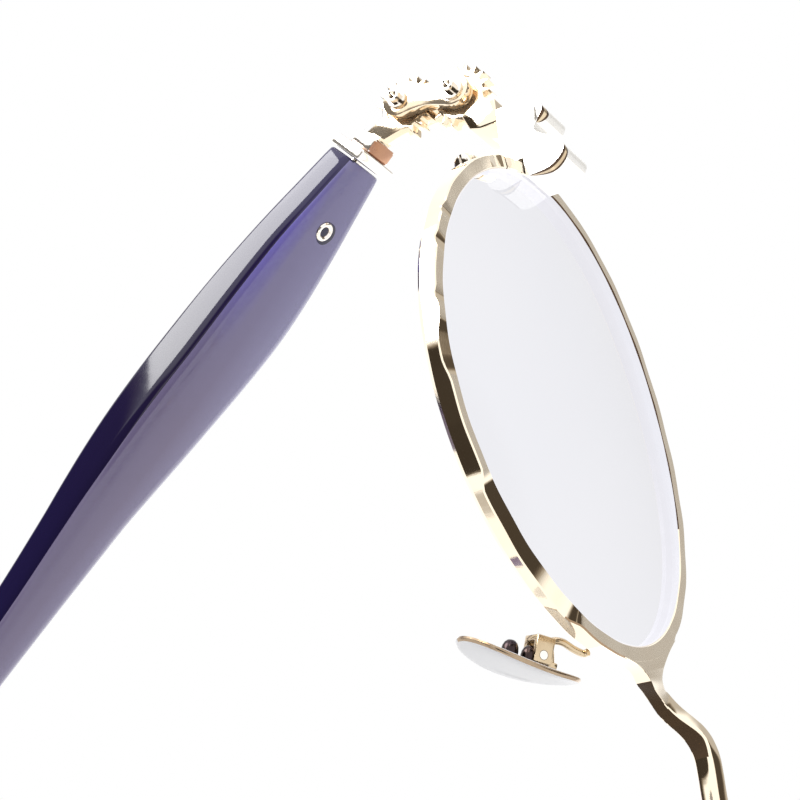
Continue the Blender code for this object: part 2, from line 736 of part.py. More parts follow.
def rivet_y():
    """The rivet's place along the temple."""
    return BLADE_START + RIVET_STATION


def rivet_thickness():
    """Thickness of the acetate at the rivet."""
    share = RIVET_STATION / BLADE_STRAIGHT
    for (near, _, thin, _), (far, _, thick, _) in zip(BLADE_SHAPE, BLADE_SHAPE[1:]):
        if near <= share <= far:
            return thin + (thick - thin) * (share - near) / (far - near)
    return BLADE_SHAPE[-1][2]


def make_core_wire():
    """The metal wire inside the acetate."""
    start = BLADE_START
    points = [(TEMPLE_OFFSET, start, -CORE_DROP), (TEMPLE_OFFSET, start + CORE_LENGTH, -CORE_DROP)]
    return wire(points, CORE_RADIUS)


def make_rivet():
    """The rivet set in the temple's inner face, with a rounded head."""
    face = TEMPLE_OFFSET - rivet_thickness() / 2
    profile = [(0.0, RIVET_PROUD), (0.55 * RIVET_RADIUS, 0.85 * RIVET_PROUD),
               (0.9 * RIVET_RADIUS, 0.3 * RIVET_PROUD), (RIVET_RADIUS, -0.3 * RIVET_PROUD),
               (RIVET_RADIUS, -RIVET_DEPTH), (0.0, -RIVET_DEPTH)]
    solid = turned(profile, 16)
    solid.transform(Matrix.Translation((face, rivet_y(), RIVET_RISE)) @ Matrix.Rotation(-math.pi / 2, 4, "Y"))
    return solid


def closing_frame():
    """Frame of the closing block: its Z runs along the rim at the split, behind the rim."""
    seat = on_rim(RIM_SPLIT_ANGLE, 0.55 * RIM_WIDTH)
    place = Vector((seat.x, RIM_DEPTH + CLEARANCE + CLOSING_RADIUS, seat.y))
    return Matrix.Translation(place) @ Matrix.Rotation(-RIM_SPLIT_ANGLE, 4, "Y")


def make_closing_barrel(direction):
    """Half of the closing block: a barrel above the split (1) or below it (-1)."""
    hole = CLOSING_SCREW_RADIUS + PIVOT_CLEARANCE
    low, high = sorted((direction * RIM_SPLIT / 2, direction * (RIM_SPLIT / 2 + CLOSING_LENGTH)))
    barrel = plate([circle(CLOSING_RADIUS, segments=16), circle(hole, segments=12)], low, high)
    barrel.transform(closing_frame())
    return barrel


def make_closing_screw():
    """The screw that pulls the rim closed on the lens, with its slotted head below."""
    reach = RIM_SPLIT / 2 + CLOSING_LENGTH
    head_top = -(reach + PIVOT_CLEARANCE)
    head_radius = 0.9 * CLOSING_RADIUS
    profile = [(0.0, reach), (CLOSING_SCREW_RADIUS, reach), (CLOSING_SCREW_RADIUS, head_top),
               (head_radius, head_top), (head_radius, head_top - 0.7 * CLOSING_HEAD_LENGTH),
               (0.7 * head_radius, head_top - CLOSING_HEAD_LENGTH), (0.0, head_top - CLOSING_HEAD_LENGTH)]
    screw = turned(profile, 16)
    screw.transform(closing_frame())
    return screw


def pad_frame():
    """Frame of a nose pad's pivot in the eye's frame: X out, Y along the screw, Z along the pad."""
    place = Matrix.Translation((-PAD_PIVOT_INWARD, PAD_PIVOT_BACK, -PAD_PIVOT_DROP))
    return place @ Matrix.Rotation(-PAD_SPLAY, 4, "Z") @ Matrix.Rotation(PAD_TILT, 4, "X")


def make_nose_pad():
    """The nose pad about its pivot: a crowned oval plate with a pierced lug behind it."""
    rings = []
    levels = ((0.55, -1.0), (0.85, -0.8), (1.0, -0.15), (0.97, 0.5), (0.8, 0.7))
    for share, level in levels:
        ring = []
        for step in range(PAD_SEGMENTS):
            angle = TAU * step / PAD_SEGMENTS
            taper = 1 - 0.12 * math.sin(angle)
            ring.append((-PAD_STANDOFF + level * PAD_THICKNESS / 2 * 1.2,
                         share * PAD_WIDTH / 2 * math.cos(angle) * taper,
                         share * PAD_LENGTH / 2 * math.sin(angle) - PAD_CENTRE_DROP))
        rings.append(ring)
    solid = loft(rings)
    lug = []
    steps = 10
    for index in range(steps + 1):
        angle = math.radians(-115) + math.radians(230) * index / steps
        lug.append((LUG_RADIUS * math.cos(angle), LUG_RADIUS * math.sin(angle)))
    lug += [(-PAD_STANDOFF, 0.6 * LUG_RADIUS), (-PAD_STANDOFF, -0.6 * LUG_RADIUS)]
    hole = circle(PAD_SCREW_RADIUS + PIVOT_CLEARANCE, segments=10)
    lug_solid = plate([lug, hole], -LUG_THICKNESS / 2, LUG_THICKNESS / 2)
    lug_solid.transform(Matrix.Rotation(math.pi / 2, 4, "X"))
    return boolean(solid, lug_solid, "UNION")


def box_inner():
    """Half the width of the slot in a pad box."""
    return LUG_THICKNESS / 2 + PIVOT_CLEARANCE


def make_pad_box():
    """The pad box: a fork round the pad's lug, closed on the lens side."""
    base = LUG_RADIUS + PIVOT_CLEARANCE
    outer = box_inner() + BOX_WALL
    front = -0.75 * LUG_RADIUS
    outline = [(front, -outer), (base + BOX_WALL, -outer), (base + BOX_WALL, outer), (front, outer),
               (front, box_inner()), (base, box_inner()), (base, -box_inner()), (front, -box_inner())]
    fork = plate([outline], -BOX_HALF_HEIGHT, BOX_HALF_HEIGHT)
    hole_radius = PAD_SCREW_RADIUS + PIVOT_CLEARANCE
    hole = wire([(0.0, -2 * outer, 0.0), (0.0, 2 * outer, 0.0)], hole_radius, 10)
    fork = boolean(fork, hole, "DIFFERENCE")
    fork.transform(pad_frame())
    return fork


def make_pad_screw():
    """The pad's screw, with a domed head at the back."""
    outer = box_inner() + BOX_WALL
    seat = outer + PIVOT_CLEARANCE
    radius = PAD_SCREW_HEAD_RADIUS
    height = PAD_SCREW_HEAD_HEIGHT
    profile = [(0.0, seat + height), (0.6 * radius, seat + 0.8 * height),
               (0.95 * radius, seat + 0.4 * height), (radius, seat),
               (PAD_SCREW_RADIUS, seat), (PAD_SCREW_RADIUS, -outer), (0.0, -outer)]
    screw = turned(profile, 12)
    screw.transform(pad_frame() @ Matrix.Rotation(-math.pi / 2, 4, "X"))
    return screw


def make_pad_arm():
    """The wire arm from the back of the rim to the top of the pad box."""
    foot = on_rim(ARM_FOOT_ANGLE, RIM_WIDTH / 2)
    start = Vector((foot.x, RIM_DEPTH + CLEARANCE, foot.y))
    base = LUG_RADIUS + PIVOT_CLEARANCE + BOX_WALL / 2
    end = pad_frame() @ Vector((base, 0.0, BOX_HALF_HEIGHT + CLEARANCE))
    above = pad_frame() @ Vector((base, 0.0, BOX_HALF_HEIGHT + CLEARANCE + 0.5 * MM))
    top = Vector(((start.x + end.x) / 2, start.y + ARM_REACH_BACK * 0.75, (start.z + end.z) / 2 + 0.6 * MM))
    points = [start, start + Vector((0, 0.5 * MM, 0)), top, above, end]
    return wire(smooth_line(points, 4), ARM_WIRE_RADIUS)


def mirrored(mesh):
    """A copy of a left-hand mesh for the right-hand side."""
    bm = bmesh.new()
    bm.from_mesh(mesh)
    bmesh.ops.scale(bm, vec=(-1, 1, 1), verts=bm.verts)
    bmesh.ops.reverse_faces(bm, faces=bm.faces)
    twin = bpy.data.meshes.new(mesh.name)
    bm.to_mesh(twin)
    bm.free()
    return twin


def add_empty(name, parent, place, turn=(0.0, 0.0, 0.0)):
    """An empty that carries the pieces of one frame or one joint."""
    empty = bpy.data.objects.new(name, None)
    empty.empty_display_size = AXIS_MARK
    empty.location = place
    empty.rotation_euler = turn
    empty.parent = parent
    bpy.context.scene.collection.objects.link(empty)
    return empty


class Builder:
    """Places finished meshes as named parts in the object's own collection."""

    def __init__(self):
        self.collection = bpy.data.collections.new("round_eyeglasses")
        bpy.context.scene.collection.children.link(self.collection)

    def add(self, name, mesh, finish, parent=None):
        """Add one part; finish is (colour, metallic, roughness, alpha, transmission)."""
        mesh.name = name
        mesh.shade_smooth()
        mesh.set_sharp_from_angle(angle=math.radians(28))
        obj = bpy.data.objects.new(name, mesh)
        obj.parent = parent
        mesh.materials.clear()
        mesh.materials.append(make_material(name, *finish))
        self.collection.objects.link(obj)

    def add_pair(self, name, mesh, finish, parents):
        """Add a left part and its mirrored right twin."""
        twin = mirrored(mesh)
        self.add(name + "_left", mesh, finish, parents["left"])
        self.add(name + "_right", twin, finish, parents["right"])


GOLD = ((0.86, 0.72, 0.55), 1.0, 0.16)
SATIN_GOLD = ((0.78, 0.68, 0.52), 1.0, 0.35)
STEEL = ((0.72, 0.70, 0.67), 1.0, 0.25)
PAD_METAL = ((0.84, 0.83, 0.81), 1.0, 0.3)
LENS_CLEAR = ((0.93, 0.93, 0.97), 0.0, 0.03, 0.35, 0.9)
ACETATE = ((0.13, 0.08, 0.42), 0.0, 0.08)


def main():
    clear_scene()
    builder = Builder()
    eyes = {}
    links = {}
    temples = {}
    gears = {}
    pads = {}
    for side, sign in SIDES.items():
        eyes[side] = add_empty(f"eye_{side}", None, (sign * LENS_X, LENS_Y, LENS_Z))
        pivot = (sign * pivot_place().x, PIVOT_SETBACK, 0.0)
        gears[side] = add_empty(f"frame_gear_centre_{side}", eyes[side], pivot)
        link_turn = sign * (REST_FOLD[side] / 2 - LINK_OPEN_ANGLE)
        links[side] = add_empty(f"link_axis_{side}", eyes[side], pivot, (0.0, 0.0, link_turn))
        temple_turn = sign * (REST_FOLD[side] / 2 + LINK_OPEN_ANGLE)
        far_end = (0.0, LINK_LENGTH, 0.0)
        temples[side] = add_empty(f"temple_axis_{side}", links[side], far_end, (0.0, 0.0, temple_turn))
        place = (-sign * PAD_PIVOT_INWARD, PAD_PIVOT_BACK, -PAD_PIVOT_DROP)
        pads[side] = add_empty(f"pad_axis_{side}", eyes[side], place, (PAD_TILT, 0.0, -sign * PAD_SPLAY))

    builder.add("bridge", make_bridge(), GOLD)
    builder.add_pair("rim", make_rim(), SATIN_GOLD, eyes)
    builder.add_pair("lens", make_lens(), LENS_CLEAR, eyes)
    builder.add_pair("endpiece", make_endpiece(), GOLD, eyes)
    builder.add_pair("hinge_bracket", make_bracket(), GOLD, eyes)
    builder.add_pair("closing_barrel_upper", make_closing_barrel(1), GOLD, eyes)
    builder.add_pair("closing_barrel_lower", make_closing_barrel(-1), GOLD, eyes)
    builder.add_pair("closing_screw", make_closing_screw(), STEEL, eyes)
    builder.add_pair("pad_arm", make_pad_arm(), GOLD, eyes)
    builder.add_pair("pad_box", make_pad_box(), GOLD, eyes)
    builder.add_pair("pad_screw", make_pad_screw(), STEEL, eyes)
    builder.add_pair("nose_pad", make_nose_pad(), PAD_METAL, pads)

    builder.add_pair("frame_gear", make_frame_gear(), GOLD, gears)
    builder.add_pair("link_lower", make_link(-LINK_OUTER, -LINK_INNER), GOLD, links)
    builder.add_pair("link_upper", make_link(LINK_INNER, LINK_OUTER), GOLD, links)
    builder.add_pair("frame_pin", make_pin(FRAME_PIN_COLLAR_RADIUS), STEEL, links)
    builder.add_pair("frame_pin_nut", make_nut(), GOLD, links)
    far = Matrix.Translation((0.0, LINK_LENGTH, 0.0))
    temple_pin = make_pin(TEMPLE_PIN_COLLAR_RADIUS)
    temple_pin.transform(far)
    builder.add_pair("temple_pin", temple_pin, STEEL, links)
    temple_nut = make_nut()
    temple_nut.transform(far)
    builder.add_pair("temple_pin_nut", temple_nut, GOLD, links)

    builder.add_pair("temple_gear", make_temple_gear(), GOLD, temples)
    builder.add_pair("stem_block", make_stem_block(), GOLD, temples)
    builder.add_pair("ferrule", make_ferrule(), GOLD, temples)
    builder.add_pair("core_wire", make_core_wire(), STEEL, temples)
    builder.add_pair("temple", make_blade(), ACETATE, temples)
    builder.add_pair("temple_rivet", make_rivet(), GOLD, temples)
    bpy.context.view_layer.update()


main()
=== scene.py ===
# Round metal eyeglasses with geared hinges and thick acetate temples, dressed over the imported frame.
# Each sub-assembly draws its meshes for the left side, in a frame of its own, and mirrors them for the right.
import json
import logging
import math
from collections.abc import Callable
from dataclasses import dataclass, field
from enum import Enum

import bmesh
import bpy
from mathutils import Matrix, Vector

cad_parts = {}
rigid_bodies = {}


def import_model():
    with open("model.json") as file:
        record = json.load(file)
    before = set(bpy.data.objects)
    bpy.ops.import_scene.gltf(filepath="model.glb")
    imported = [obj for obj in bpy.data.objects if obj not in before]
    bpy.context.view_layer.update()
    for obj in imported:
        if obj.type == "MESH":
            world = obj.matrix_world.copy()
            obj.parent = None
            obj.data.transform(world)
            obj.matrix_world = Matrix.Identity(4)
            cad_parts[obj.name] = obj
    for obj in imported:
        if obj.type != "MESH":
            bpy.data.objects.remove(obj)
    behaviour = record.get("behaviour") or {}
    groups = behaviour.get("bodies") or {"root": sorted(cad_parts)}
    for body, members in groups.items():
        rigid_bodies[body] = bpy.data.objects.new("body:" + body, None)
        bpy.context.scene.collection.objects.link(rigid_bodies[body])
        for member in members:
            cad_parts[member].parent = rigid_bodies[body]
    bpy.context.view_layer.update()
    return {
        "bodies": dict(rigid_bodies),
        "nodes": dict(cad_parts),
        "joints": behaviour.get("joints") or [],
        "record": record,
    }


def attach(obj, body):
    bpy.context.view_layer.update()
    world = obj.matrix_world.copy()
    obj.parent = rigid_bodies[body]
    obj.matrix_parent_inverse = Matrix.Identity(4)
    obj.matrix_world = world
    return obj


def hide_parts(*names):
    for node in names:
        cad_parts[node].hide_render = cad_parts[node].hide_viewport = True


LOG = logging.getLogger("eyeglasses")
MM = 0.001
FINE, COARSE = 0.003 * MM, 0.006 * MM  # depths of brushing
TAU = 2 * math.pi
Plan = list[tuple[float, float]]
Place = tuple[float, float, float]
Tone = tuple[float, float, float]
Mesh = bpy.types.Mesh
Face = bpy.types.MeshPolygon
Socket = bpy.types.NodeSocket


class Side(Enum):
    """The wearer's side that a piece belongs to."""

    LEFT = 1
    RIGHT = -1

    @property
    def label(self) -> str:
        """The side's name in node and piece names."""
        return self.name.lower()


class Slot(Enum):
    """Material slots of the record."""

    GOLD = "gold"
    SATIN_GOLD = "satin_gold"
    STEEL = "steel"
    PAD_METAL = "pad_metal"
    LENS = "lens"
    ACETATE = "acetate"


@dataclass(frozen=True)
class Layout:
    """Where the eyes, hinges and pads lie in the row frame.

    Attributes:
        eye: Place of the left lens centre, at the rim's front.
        link_angle: How far each open link leans outward.
        fold: How far in each temple is folded in the photograph.
        joints: Place of each joint, by its name.
    """

    eye: Place = (34.0 * MM, 1.2 * MM, -15.95 * MM)
    link_angle: float = math.radians(31.3)
    fold: dict[Side, float] = field(default_factory=lambda: {Side.LEFT: 0.0, Side.RIGHT: math.radians(40)})
    joints: dict[str, Vector] = field(default_factory=dict)

    def eye_frame(self, side: Side) -> Matrix:
        """The frame of a side's lens: outward, back and up."""
        x, y, z = self.eye
        return Matrix.Translation((side.value * x, y, z))

    def gear_frame(self, side: Side) -> Matrix:
        """The frame of a side's fixed gear, on the frame pin's axis."""
        return Matrix.Translation(self.joints[f"{side.label}_link_swing"])

    def link_frame(self, side: Side) -> Matrix:
        """The frame of a side's link, with +Y towards the temple pin."""
        turn = side.value * (self.fold[side] / 2 - self.link_angle)
        return self.gear_frame(side) @ Matrix.Rotation(turn, 4, "Z")

    def temple_frame(self, side: Side) -> Matrix:
        """The frame of a side's temple, on the temple pin's axis."""
        pin = Matrix.Translation(self.joints[f"{side.label}_temple_swing"])
        return pin @ Matrix.Rotation(side.value * self.fold[side], 4, "Z")


def finished(bm: bmesh.types.BMesh) -> Mesh:
    """Turn a bmesh into a mesh with outward faces.

    Args:
        bm: The bmesh, which is freed.

    Returns:
        The new mesh.
    """
    bmesh.ops.recalc_face_normals(bm, faces=bm.faces)
    mesh = bpy.data.meshes.new("shape")
    bm.to_mesh(mesh)
    bm.free()
    return mesh


def evaluated(obj: bpy.types.Object) -> Mesh:
    """Take the mesh that a scratch object shows, and remove the object.

    Args:
        obj: An object that was made only for its modifiers or its curve.

    Returns:
        The welded mesh.
    """
    bpy.context.view_layer.update()
    shown = obj.evaluated_get(bpy.context.evaluated_depsgraph_get())
    mesh = bpy.data.meshes.new_from_object(shown)
    mesh.transform(obj.matrix_world)
    bpy.data.objects.remove(obj, do_unlink=True)
    bm = bmesh.new()
    bm.from_mesh(mesh)
    bmesh.ops.remove_doubles(bm, verts=bm.verts, dist=0.001 * MM)
    bm.to_mesh(mesh)
    bm.free()
    return mesh


def scratch(data: bpy.types.ID) -> bpy.types.Object:
    """Link an object that lives only while its modifiers are worked out.

    Args:
        data: Its mesh or curve.

    Returns:
        The object.
    """
    obj = bpy.data.objects.new("scratch", data)
    bpy.context.scene.collection.objects.link(obj)
    return obj


def bevelled(mesh: Mesh, width: float, segments: int = 3, angle: float = 30.0) -> Mesh:
    """Round a mesh's sharp edges.

    Args:
        mesh: The mesh to round.
        width: Width of the bevel.
        segments: Steps across the bevel.
        angle: Edges sharper than this, in degrees, are rounded.

    Returns:
        The rounded mesh.
    """
    body = scratch(mesh)
    bevel = body.modifiers.new("bevel", "BEVEL")
    bevel.width = width
    bevel.segments = segments
    bevel.limit_method = "ANGLE"
    bevel.angle_limit = math.radians(angle)
    bevel.miter_outer = "MITER_ARC"
    return evaluated(body)


def boolean(mesh: Mesh, other: Mesh, operation: str) -> Mesh:
    """Cut one mesh with another, or join them.

    Args:
        mesh: The body.
        other: The tool, which is used up.
        operation: DIFFERENCE, UNION or INTERSECT.

    Returns:
        The resulting mesh.
    """
    body = scratch(mesh)
    tool = scratch(other)
    modifier = body.modifiers.new("boolean", "BOOLEAN")
    modifier.operation = operation
    modifier.solver = "EXACT"
    modifier.object = tool
    result = evaluated(body)
    bpy.data.objects.remove(tool, do_unlink=True)
    return result


def plate(outlines: list[Plan], low: float, high: float) -> Mesh:
    """Make a flat plate with holes.

    Args:
        outlines: The outline, and then the holes in it.
        low: Height of its underside.
        high: Height of its top.

    Returns:
        The plate's mesh.
    """
    curve = bpy.data.curves.new("outline", "CURVE")
    curve.dimensions = "2D"
    curve.fill_mode = "BOTH"
    curve.extrude = (high - low) / 2
    for outline in outlines:
        spline = curve.splines.new("POLY")
        spline.points.add(len(outline) - 1)
        spline.use_cyclic_u = True
        for point, (x, y) in zip(spline.points, outline):
            point.co = (x, y, 0.0, 1.0)
    obj = scratch(curve)
    obj.location.z = (low + high) / 2
    return evaluated(obj)


def circle(radius: float, centre: tuple[float, float] = (0.0, 0.0), segments: int = 48) -> Plan:
    """Points round a circle.

    Args:
        radius: Radius of the circle.
        centre: Its middle.
        segments: How many points.

    Returns:
        The points.
    """
    angles = [TAU * step / segments for step in range(segments)]
    return [(centre[0] + radius * math.cos(a), centre[1] + radius * math.sin(a)) for a in angles]


def arc(radius: float, start: float, sweep: float = 230.0, steps: int = 24) -> Plan:
    """Points round part of a circle.

    Args:
        radius: Radius of the arc.
        start: Angle of its first point, in degrees.
        sweep: How far round it goes, in degrees.
        steps: Steps from its first point to its last.

    Returns:
        The points.
    """
    angles = [math.radians(start + sweep * step / steps) for step in range(steps + 1)]
    return [(radius * math.cos(a), radius * math.sin(a)) for a in angles]


def clamped(value: float) -> float:
    """The value, kept between 0 and 1."""
    return min(1.0, max(0.0, value))


def eased(value: float) -> float:
    """The value kept between 0 and 1, with a slow start and a slow end."""
    share = clamped(value)
    return share * share * (3 - 2 * share)


def turned(profile: Plan, segments: int = 48) -> Mesh:
    """Turn a solid about Z.

    Args:
        profile: (radius, height) points, top to bottom on the outer side.
        segments: Facets round the axis.

    Returns:
        The turned mesh.
    """
    mesh = bpy.data.meshes.new("profile")
    edges = [(i, i + 1) for i in range(len(profile) - 1)]
    mesh.from_pydata([(r, 0.0, z) for r, z in profile], edges, [])
    obj = scratch(mesh)
    screw = obj.modifiers.new("screw", "SCREW")
    screw.steps = segments
    screw.render_steps = segments
    screw.use_merge_vertices = True
    screw.merge_threshold = 0.0005 * MM
    bm = bmesh.new()
    bm.from_mesh(evaluated(obj))
    return finished(bm)


def wire(points: list[Vector], radius: float, sides: int = 20) -> Mesh:
    """Run a round wire along a line of points.

    Args:
        points: The wire's middle line.
        radius: Radius of the wire.
        sides: Facets round the wire.

    Returns:
        The wire's mesh, with flat ends.
    """
    curve = bpy.data.curves.new("wire", "CURVE")
    curve.dimensions = "3D"
    curve.bevel_depth = radius
    curve.bevel_resolution = (sides - 4) // 2
    curve.use_fill_caps = True
    spline = curve.splines.new("POLY")
    spline.points.add(len(points) - 1)
    for point, place in zip(spline.points, points):
        point.co = (*place, 1.0)
    return evaluated(scratch(curve))


def smooth_line(points: list[Place], steps: int) -> list[Vector]:
    """Points along a smooth curve through the given ones.

    Args:
        points: Points that the curve passes through.
        steps: Steps from each one to the next.

    Returns:
        The curve's points.
    """
    padded = [2 * Vector(points[0]) - Vector(points[1])]
    padded += [Vector(p) for p in points]
    padded += [2 * Vector(points[-1]) - Vector(points[-2])]
    line = []
    for a, b, c, d in zip(padded, padded[1:], padded[2:], padded[3:]):
        for step in range(steps):
            t = step / steps
            place = 2 * b + (c - a) * t + (2 * a - 5 * b + 4 * c - d) * t ** 2
            line.append((place + (3 * b - a - 3 * c + d) * t ** 3) / 2)
    line.append(padded[-2])
    return line


def loft(rings: list[list[Place]]) -> Mesh:
    """Skin over rings of equal counts, with flat ends.

    Args:
        rings: The sections, from one end to the other.

    Returns:
        The skinned mesh.
    """
    bm = bmesh.new()
    rows = [[bm.verts.new(place) for place in ring] for ring in rings]
    for near, far in zip(rows, rows[1:]):
        for i in range(len(near)):
            j = (i + 1) % len(near)
            bm.faces.new((near[i], near[j], far[j], far[i]))
    bm.faces.new(rows[0])
    bm.faces.new(list(reversed(rows[-1])))
    return finished(bm)


def block(size: Place, centre: Place) -> Mesh:
    """Make a rectangular block.

    Args:
        size: Its width, length and height.
        centre: Its middle.

    Returns:
        The block's mesh.
    """
    bm = bmesh.new()
    bmesh.ops.create_cube(bm, size=1.0)
    bmesh.ops.scale(bm, vec=size, verts=bm.verts)
    bmesh.ops.translate(bm, vec=centre, verts=bm.verts)
    return finished(bm)


def for_side(mesh: Mesh, side: Side, frame: Matrix) -> Mesh:
    """Place a copy of a left-hand mesh, mirrored on the right.

    Args:
        mesh: The mesh, drawn for the left in its own frame.
        side: The side that it is for.
        frame: That side's frame.

    Returns:
        The placed copy.
    """
    bm = bmesh.new()
    bm.from_mesh(mesh)
    if side is Side.RIGHT:
        bmesh.ops.scale(bm, vec=(-1, 1, 1), verts=bm.verts)
        bmesh.ops.reverse_faces(bm, faces=bm.faces)
    placed = bpy.data.meshes.new(mesh.name)
    bm.to_mesh(placed)
    bm.free()
    for material in mesh.materials:
        placed.materials.append(material)
    placed.transform(frame)
    return placed


class Nodes:
    """A short way to lay out the nodes of a material or of the world."""

    def __init__(self, owner: bpy.types.Material | bpy.types.World, output: str = "OutputMaterial") -> None:
        """Start with nothing but the output.

        Args:
            owner: What the nodes belong to.
            output: The output node's type, without ShaderNode.
        """
        owner.use_nodes = True
        self.owner = owner
        self.tree = owner.node_tree
        self.tree.nodes.clear()
        self.output = self.add(output)

    def add(self, kind: str, *values: object, settings: dict | None = None,
            **inputs: object) -> bpy.types.Node:
        """Add a node.

        Args:
            kind: The node's type, without ShaderNode.
            *values: Values or links of its first sockets.
            settings: The node's own properties.
            **inputs: Values or links of sockets by name, with _ for a space.

        Returns:
            The node.
        """
        node = self.tree.nodes.new("ShaderNode" + kind)
        for key, value in (settings or {}).items():
            setattr(node, key, value)
        named = [(node.inputs[key.replace("_", " ")], value) for key, value in inputs.items()]
        for socket, value in [*zip(node.inputs, values), *named]:
            if isinstance(value, Socket):
                self.tree.links.new(value, socket)
            else:
                socket.default_value = value
        return node

    def maths(self, operation: str, *values: object) -> Socket:
        """Work a value out of others."""
        return self.add("Math", *values, settings={"operation": operation}).outputs["Value"]

    def ramp(self, factor: Socket, *stops: tuple[float, Tone]) -> Socket:
        """Turn a factor into a colour.

        Args:
            factor: The factor, from 0 to 1.
            *stops: Places along the ramp, each with its colour.

        Returns:
            The colour.
        """
        node = self.add("ValToRGB", factor)
        elements = node.color_ramp.elements
        while len(elements) < len(stops):
            elements.new(0.5)
        for element, (position, tone) in zip(elements, stops):
            element.position = position
            element.color = (*tone, 1.0)
        return node.outputs["Color"]

    def fade(self, factor: Socket, *stops: tuple[float, float]) -> Socket:
        """Turn a factor into a grey level."""
        return self.ramp(factor, *((position, (level,) * 3) for position, level in stops))

    def span(self, value: Socket, low: float, high: float) -> Socket:
        """Map a 0 to 1 value to a range."""
        return self.add("MapRange", Value=value, To_Min=low, To_Max=high).outputs["Result"]

    def grain(self, scale: float, detail: float = 3.0, stretch: Place = (1, 1, 1)) -> Socket:
        """Add a noise that is fixed to the piece.

        Args:
            scale: How fine it is.
            detail: How many finer layers it has.
            stretch: Its scale along each axis.

        Returns:
            The noise, from 0 to 1.
        """
        place = self.add("Mapping", Vector=self.add("TexCoord").outputs["Object"], Scale=stretch)
        noise = self.add("TexNoise", Vector=place.outputs["Vector"], Scale=scale, Detail=detail)
        return noise.outputs["Fac"]

    def finish(self, shader: bpy.types.Node) -> bpy.types.Material | bpy.types.World:
        """Connect the surface and hand over what the nodes belong to."""
        self.tree.links.new(shader.outputs[0], self.output.inputs["Surface"])
        return self.owner


@dataclass(frozen=True)
class Plating:
    """Plated metal with a slight cloudiness, fine brushing and soft handling marks.

    Attributes:
        name: Name of the material.
        tone: Colour of the plating.
        worn: Colour where it is a little rubbed.
        gloss: Roughness, from the smoothest to the roughest place.
        brush: Depth of the fine brushing, in metres.
        metal: How far it mirrors like bare metal.
        shine: How strongly the rest of it mirrors.
    """

    name: str
    tone: Tone
    worn: Tone
    gloss: tuple[float, float]
    brush: float = 0.004 * MM
    metal: float = 1.0
    shine: float = 0.5

    def material(self) -> bpy.types.Material:
        """Build the plating's node material."""
        nodes = Nodes(bpy.data.materials.new(self.name))
        cloud = nodes.grain(260.0)
        fine = nodes.grain(2600.0, 5.0, (1, 1, 5))
        colour = nodes.ramp(cloud, (0.35, self.tone), (0.75, self.worn))
        bump = nodes.add("Bump", Height=fine, Strength=0.35, Distance=self.brush)
        shader = nodes.add("BsdfPrincipled", Base_Color=colour, Roughness=nodes.span(fine, *self.gloss),
                           Metallic=self.metal, Specular_IOR_Level=self.shine, Normal=bump.outputs["Normal"])
        return nodes.finish(shader)


@dataclass(frozen=True)
class ClearLens:
    """A clear lens with a faint cool coating.

    Attributes:
        name: Name of the material.
        tint: Colour of what is seen through it.
        bloom: The same where the coating is a little thinner.
        coat: Colour of its reflections.
    """

    name: str = "coated_lens"
    tint: Tone = (0.945, 0.948, 0.972)
    bloom: Tone = (0.955, 0.956, 0.976)
    coat: Tone = (0.95, 0.96, 1.0)

    def material(self) -> bpy.types.Material:
        """Build the lens's node material, which mirrors on its outside only."""
        nodes = Nodes(bpy.data.materials.new(self.name))
        colour = nodes.ramp(nodes.grain(45.0, 1.0), (0.3, self.tint), (0.7, self.bloom))
        through = nodes.add("BsdfTransparent", Color=colour).outputs[0]
        gloss = nodes.add("BsdfGlossy", Roughness=0.02, Color=(*self.coat, 1.0)).outputs[0]
        inside = nodes.add("NewGeometry").outputs["Backfacing"]
        shine = nodes.add("MixShader", inside, gloss, through).outputs[0]
        edge = nodes.add("Fresnel", IOR=1.4).outputs["Fac"]
        return nodes.finish(nodes.add("MixShader", edge, through, shine))


@dataclass(frozen=True)
class GroundEdge:
    """The matt, ground edge of a lens, which glows by emission as painted light.

    Attributes:
        name: Name of the material.
        pale: Colour of its glow.
        soft: The same where it is a little dimmer.
        depth: Colour of its surface.
        glow: How strongly it glows, as painted light in place of the light that the lens leads to its edge.
    """

    name: str = "ground_lens_edge"
    pale: Tone = (0.905, 0.900, 0.940)
    soft: Tone = (0.890, 0.888, 0.930)
    depth: Tone = (0.04, 0.04, 0.05)
    glow: float = 0.97

    def material(self) -> bpy.types.Material:
        """Build the ground edge's node material, whose emission is painted light."""
        nodes = Nodes(bpy.data.materials.new(self.name))
        frost = nodes.grain(900.0, 2.0)
        colour = nodes.ramp(frost, (0.3, self.pale), (0.7, self.soft))
        rough = nodes.span(frost, 0.5, 0.7)
        # Painted light: the edge glows by emission, though it is no lamp.
        shader = nodes.add("BsdfPrincipled", Base_Color=(*self.depth, 1.0), Roughness=rough,
                           Emission_Color=colour, Emission_Strength=self.glow)
        return nodes.finish(shader)


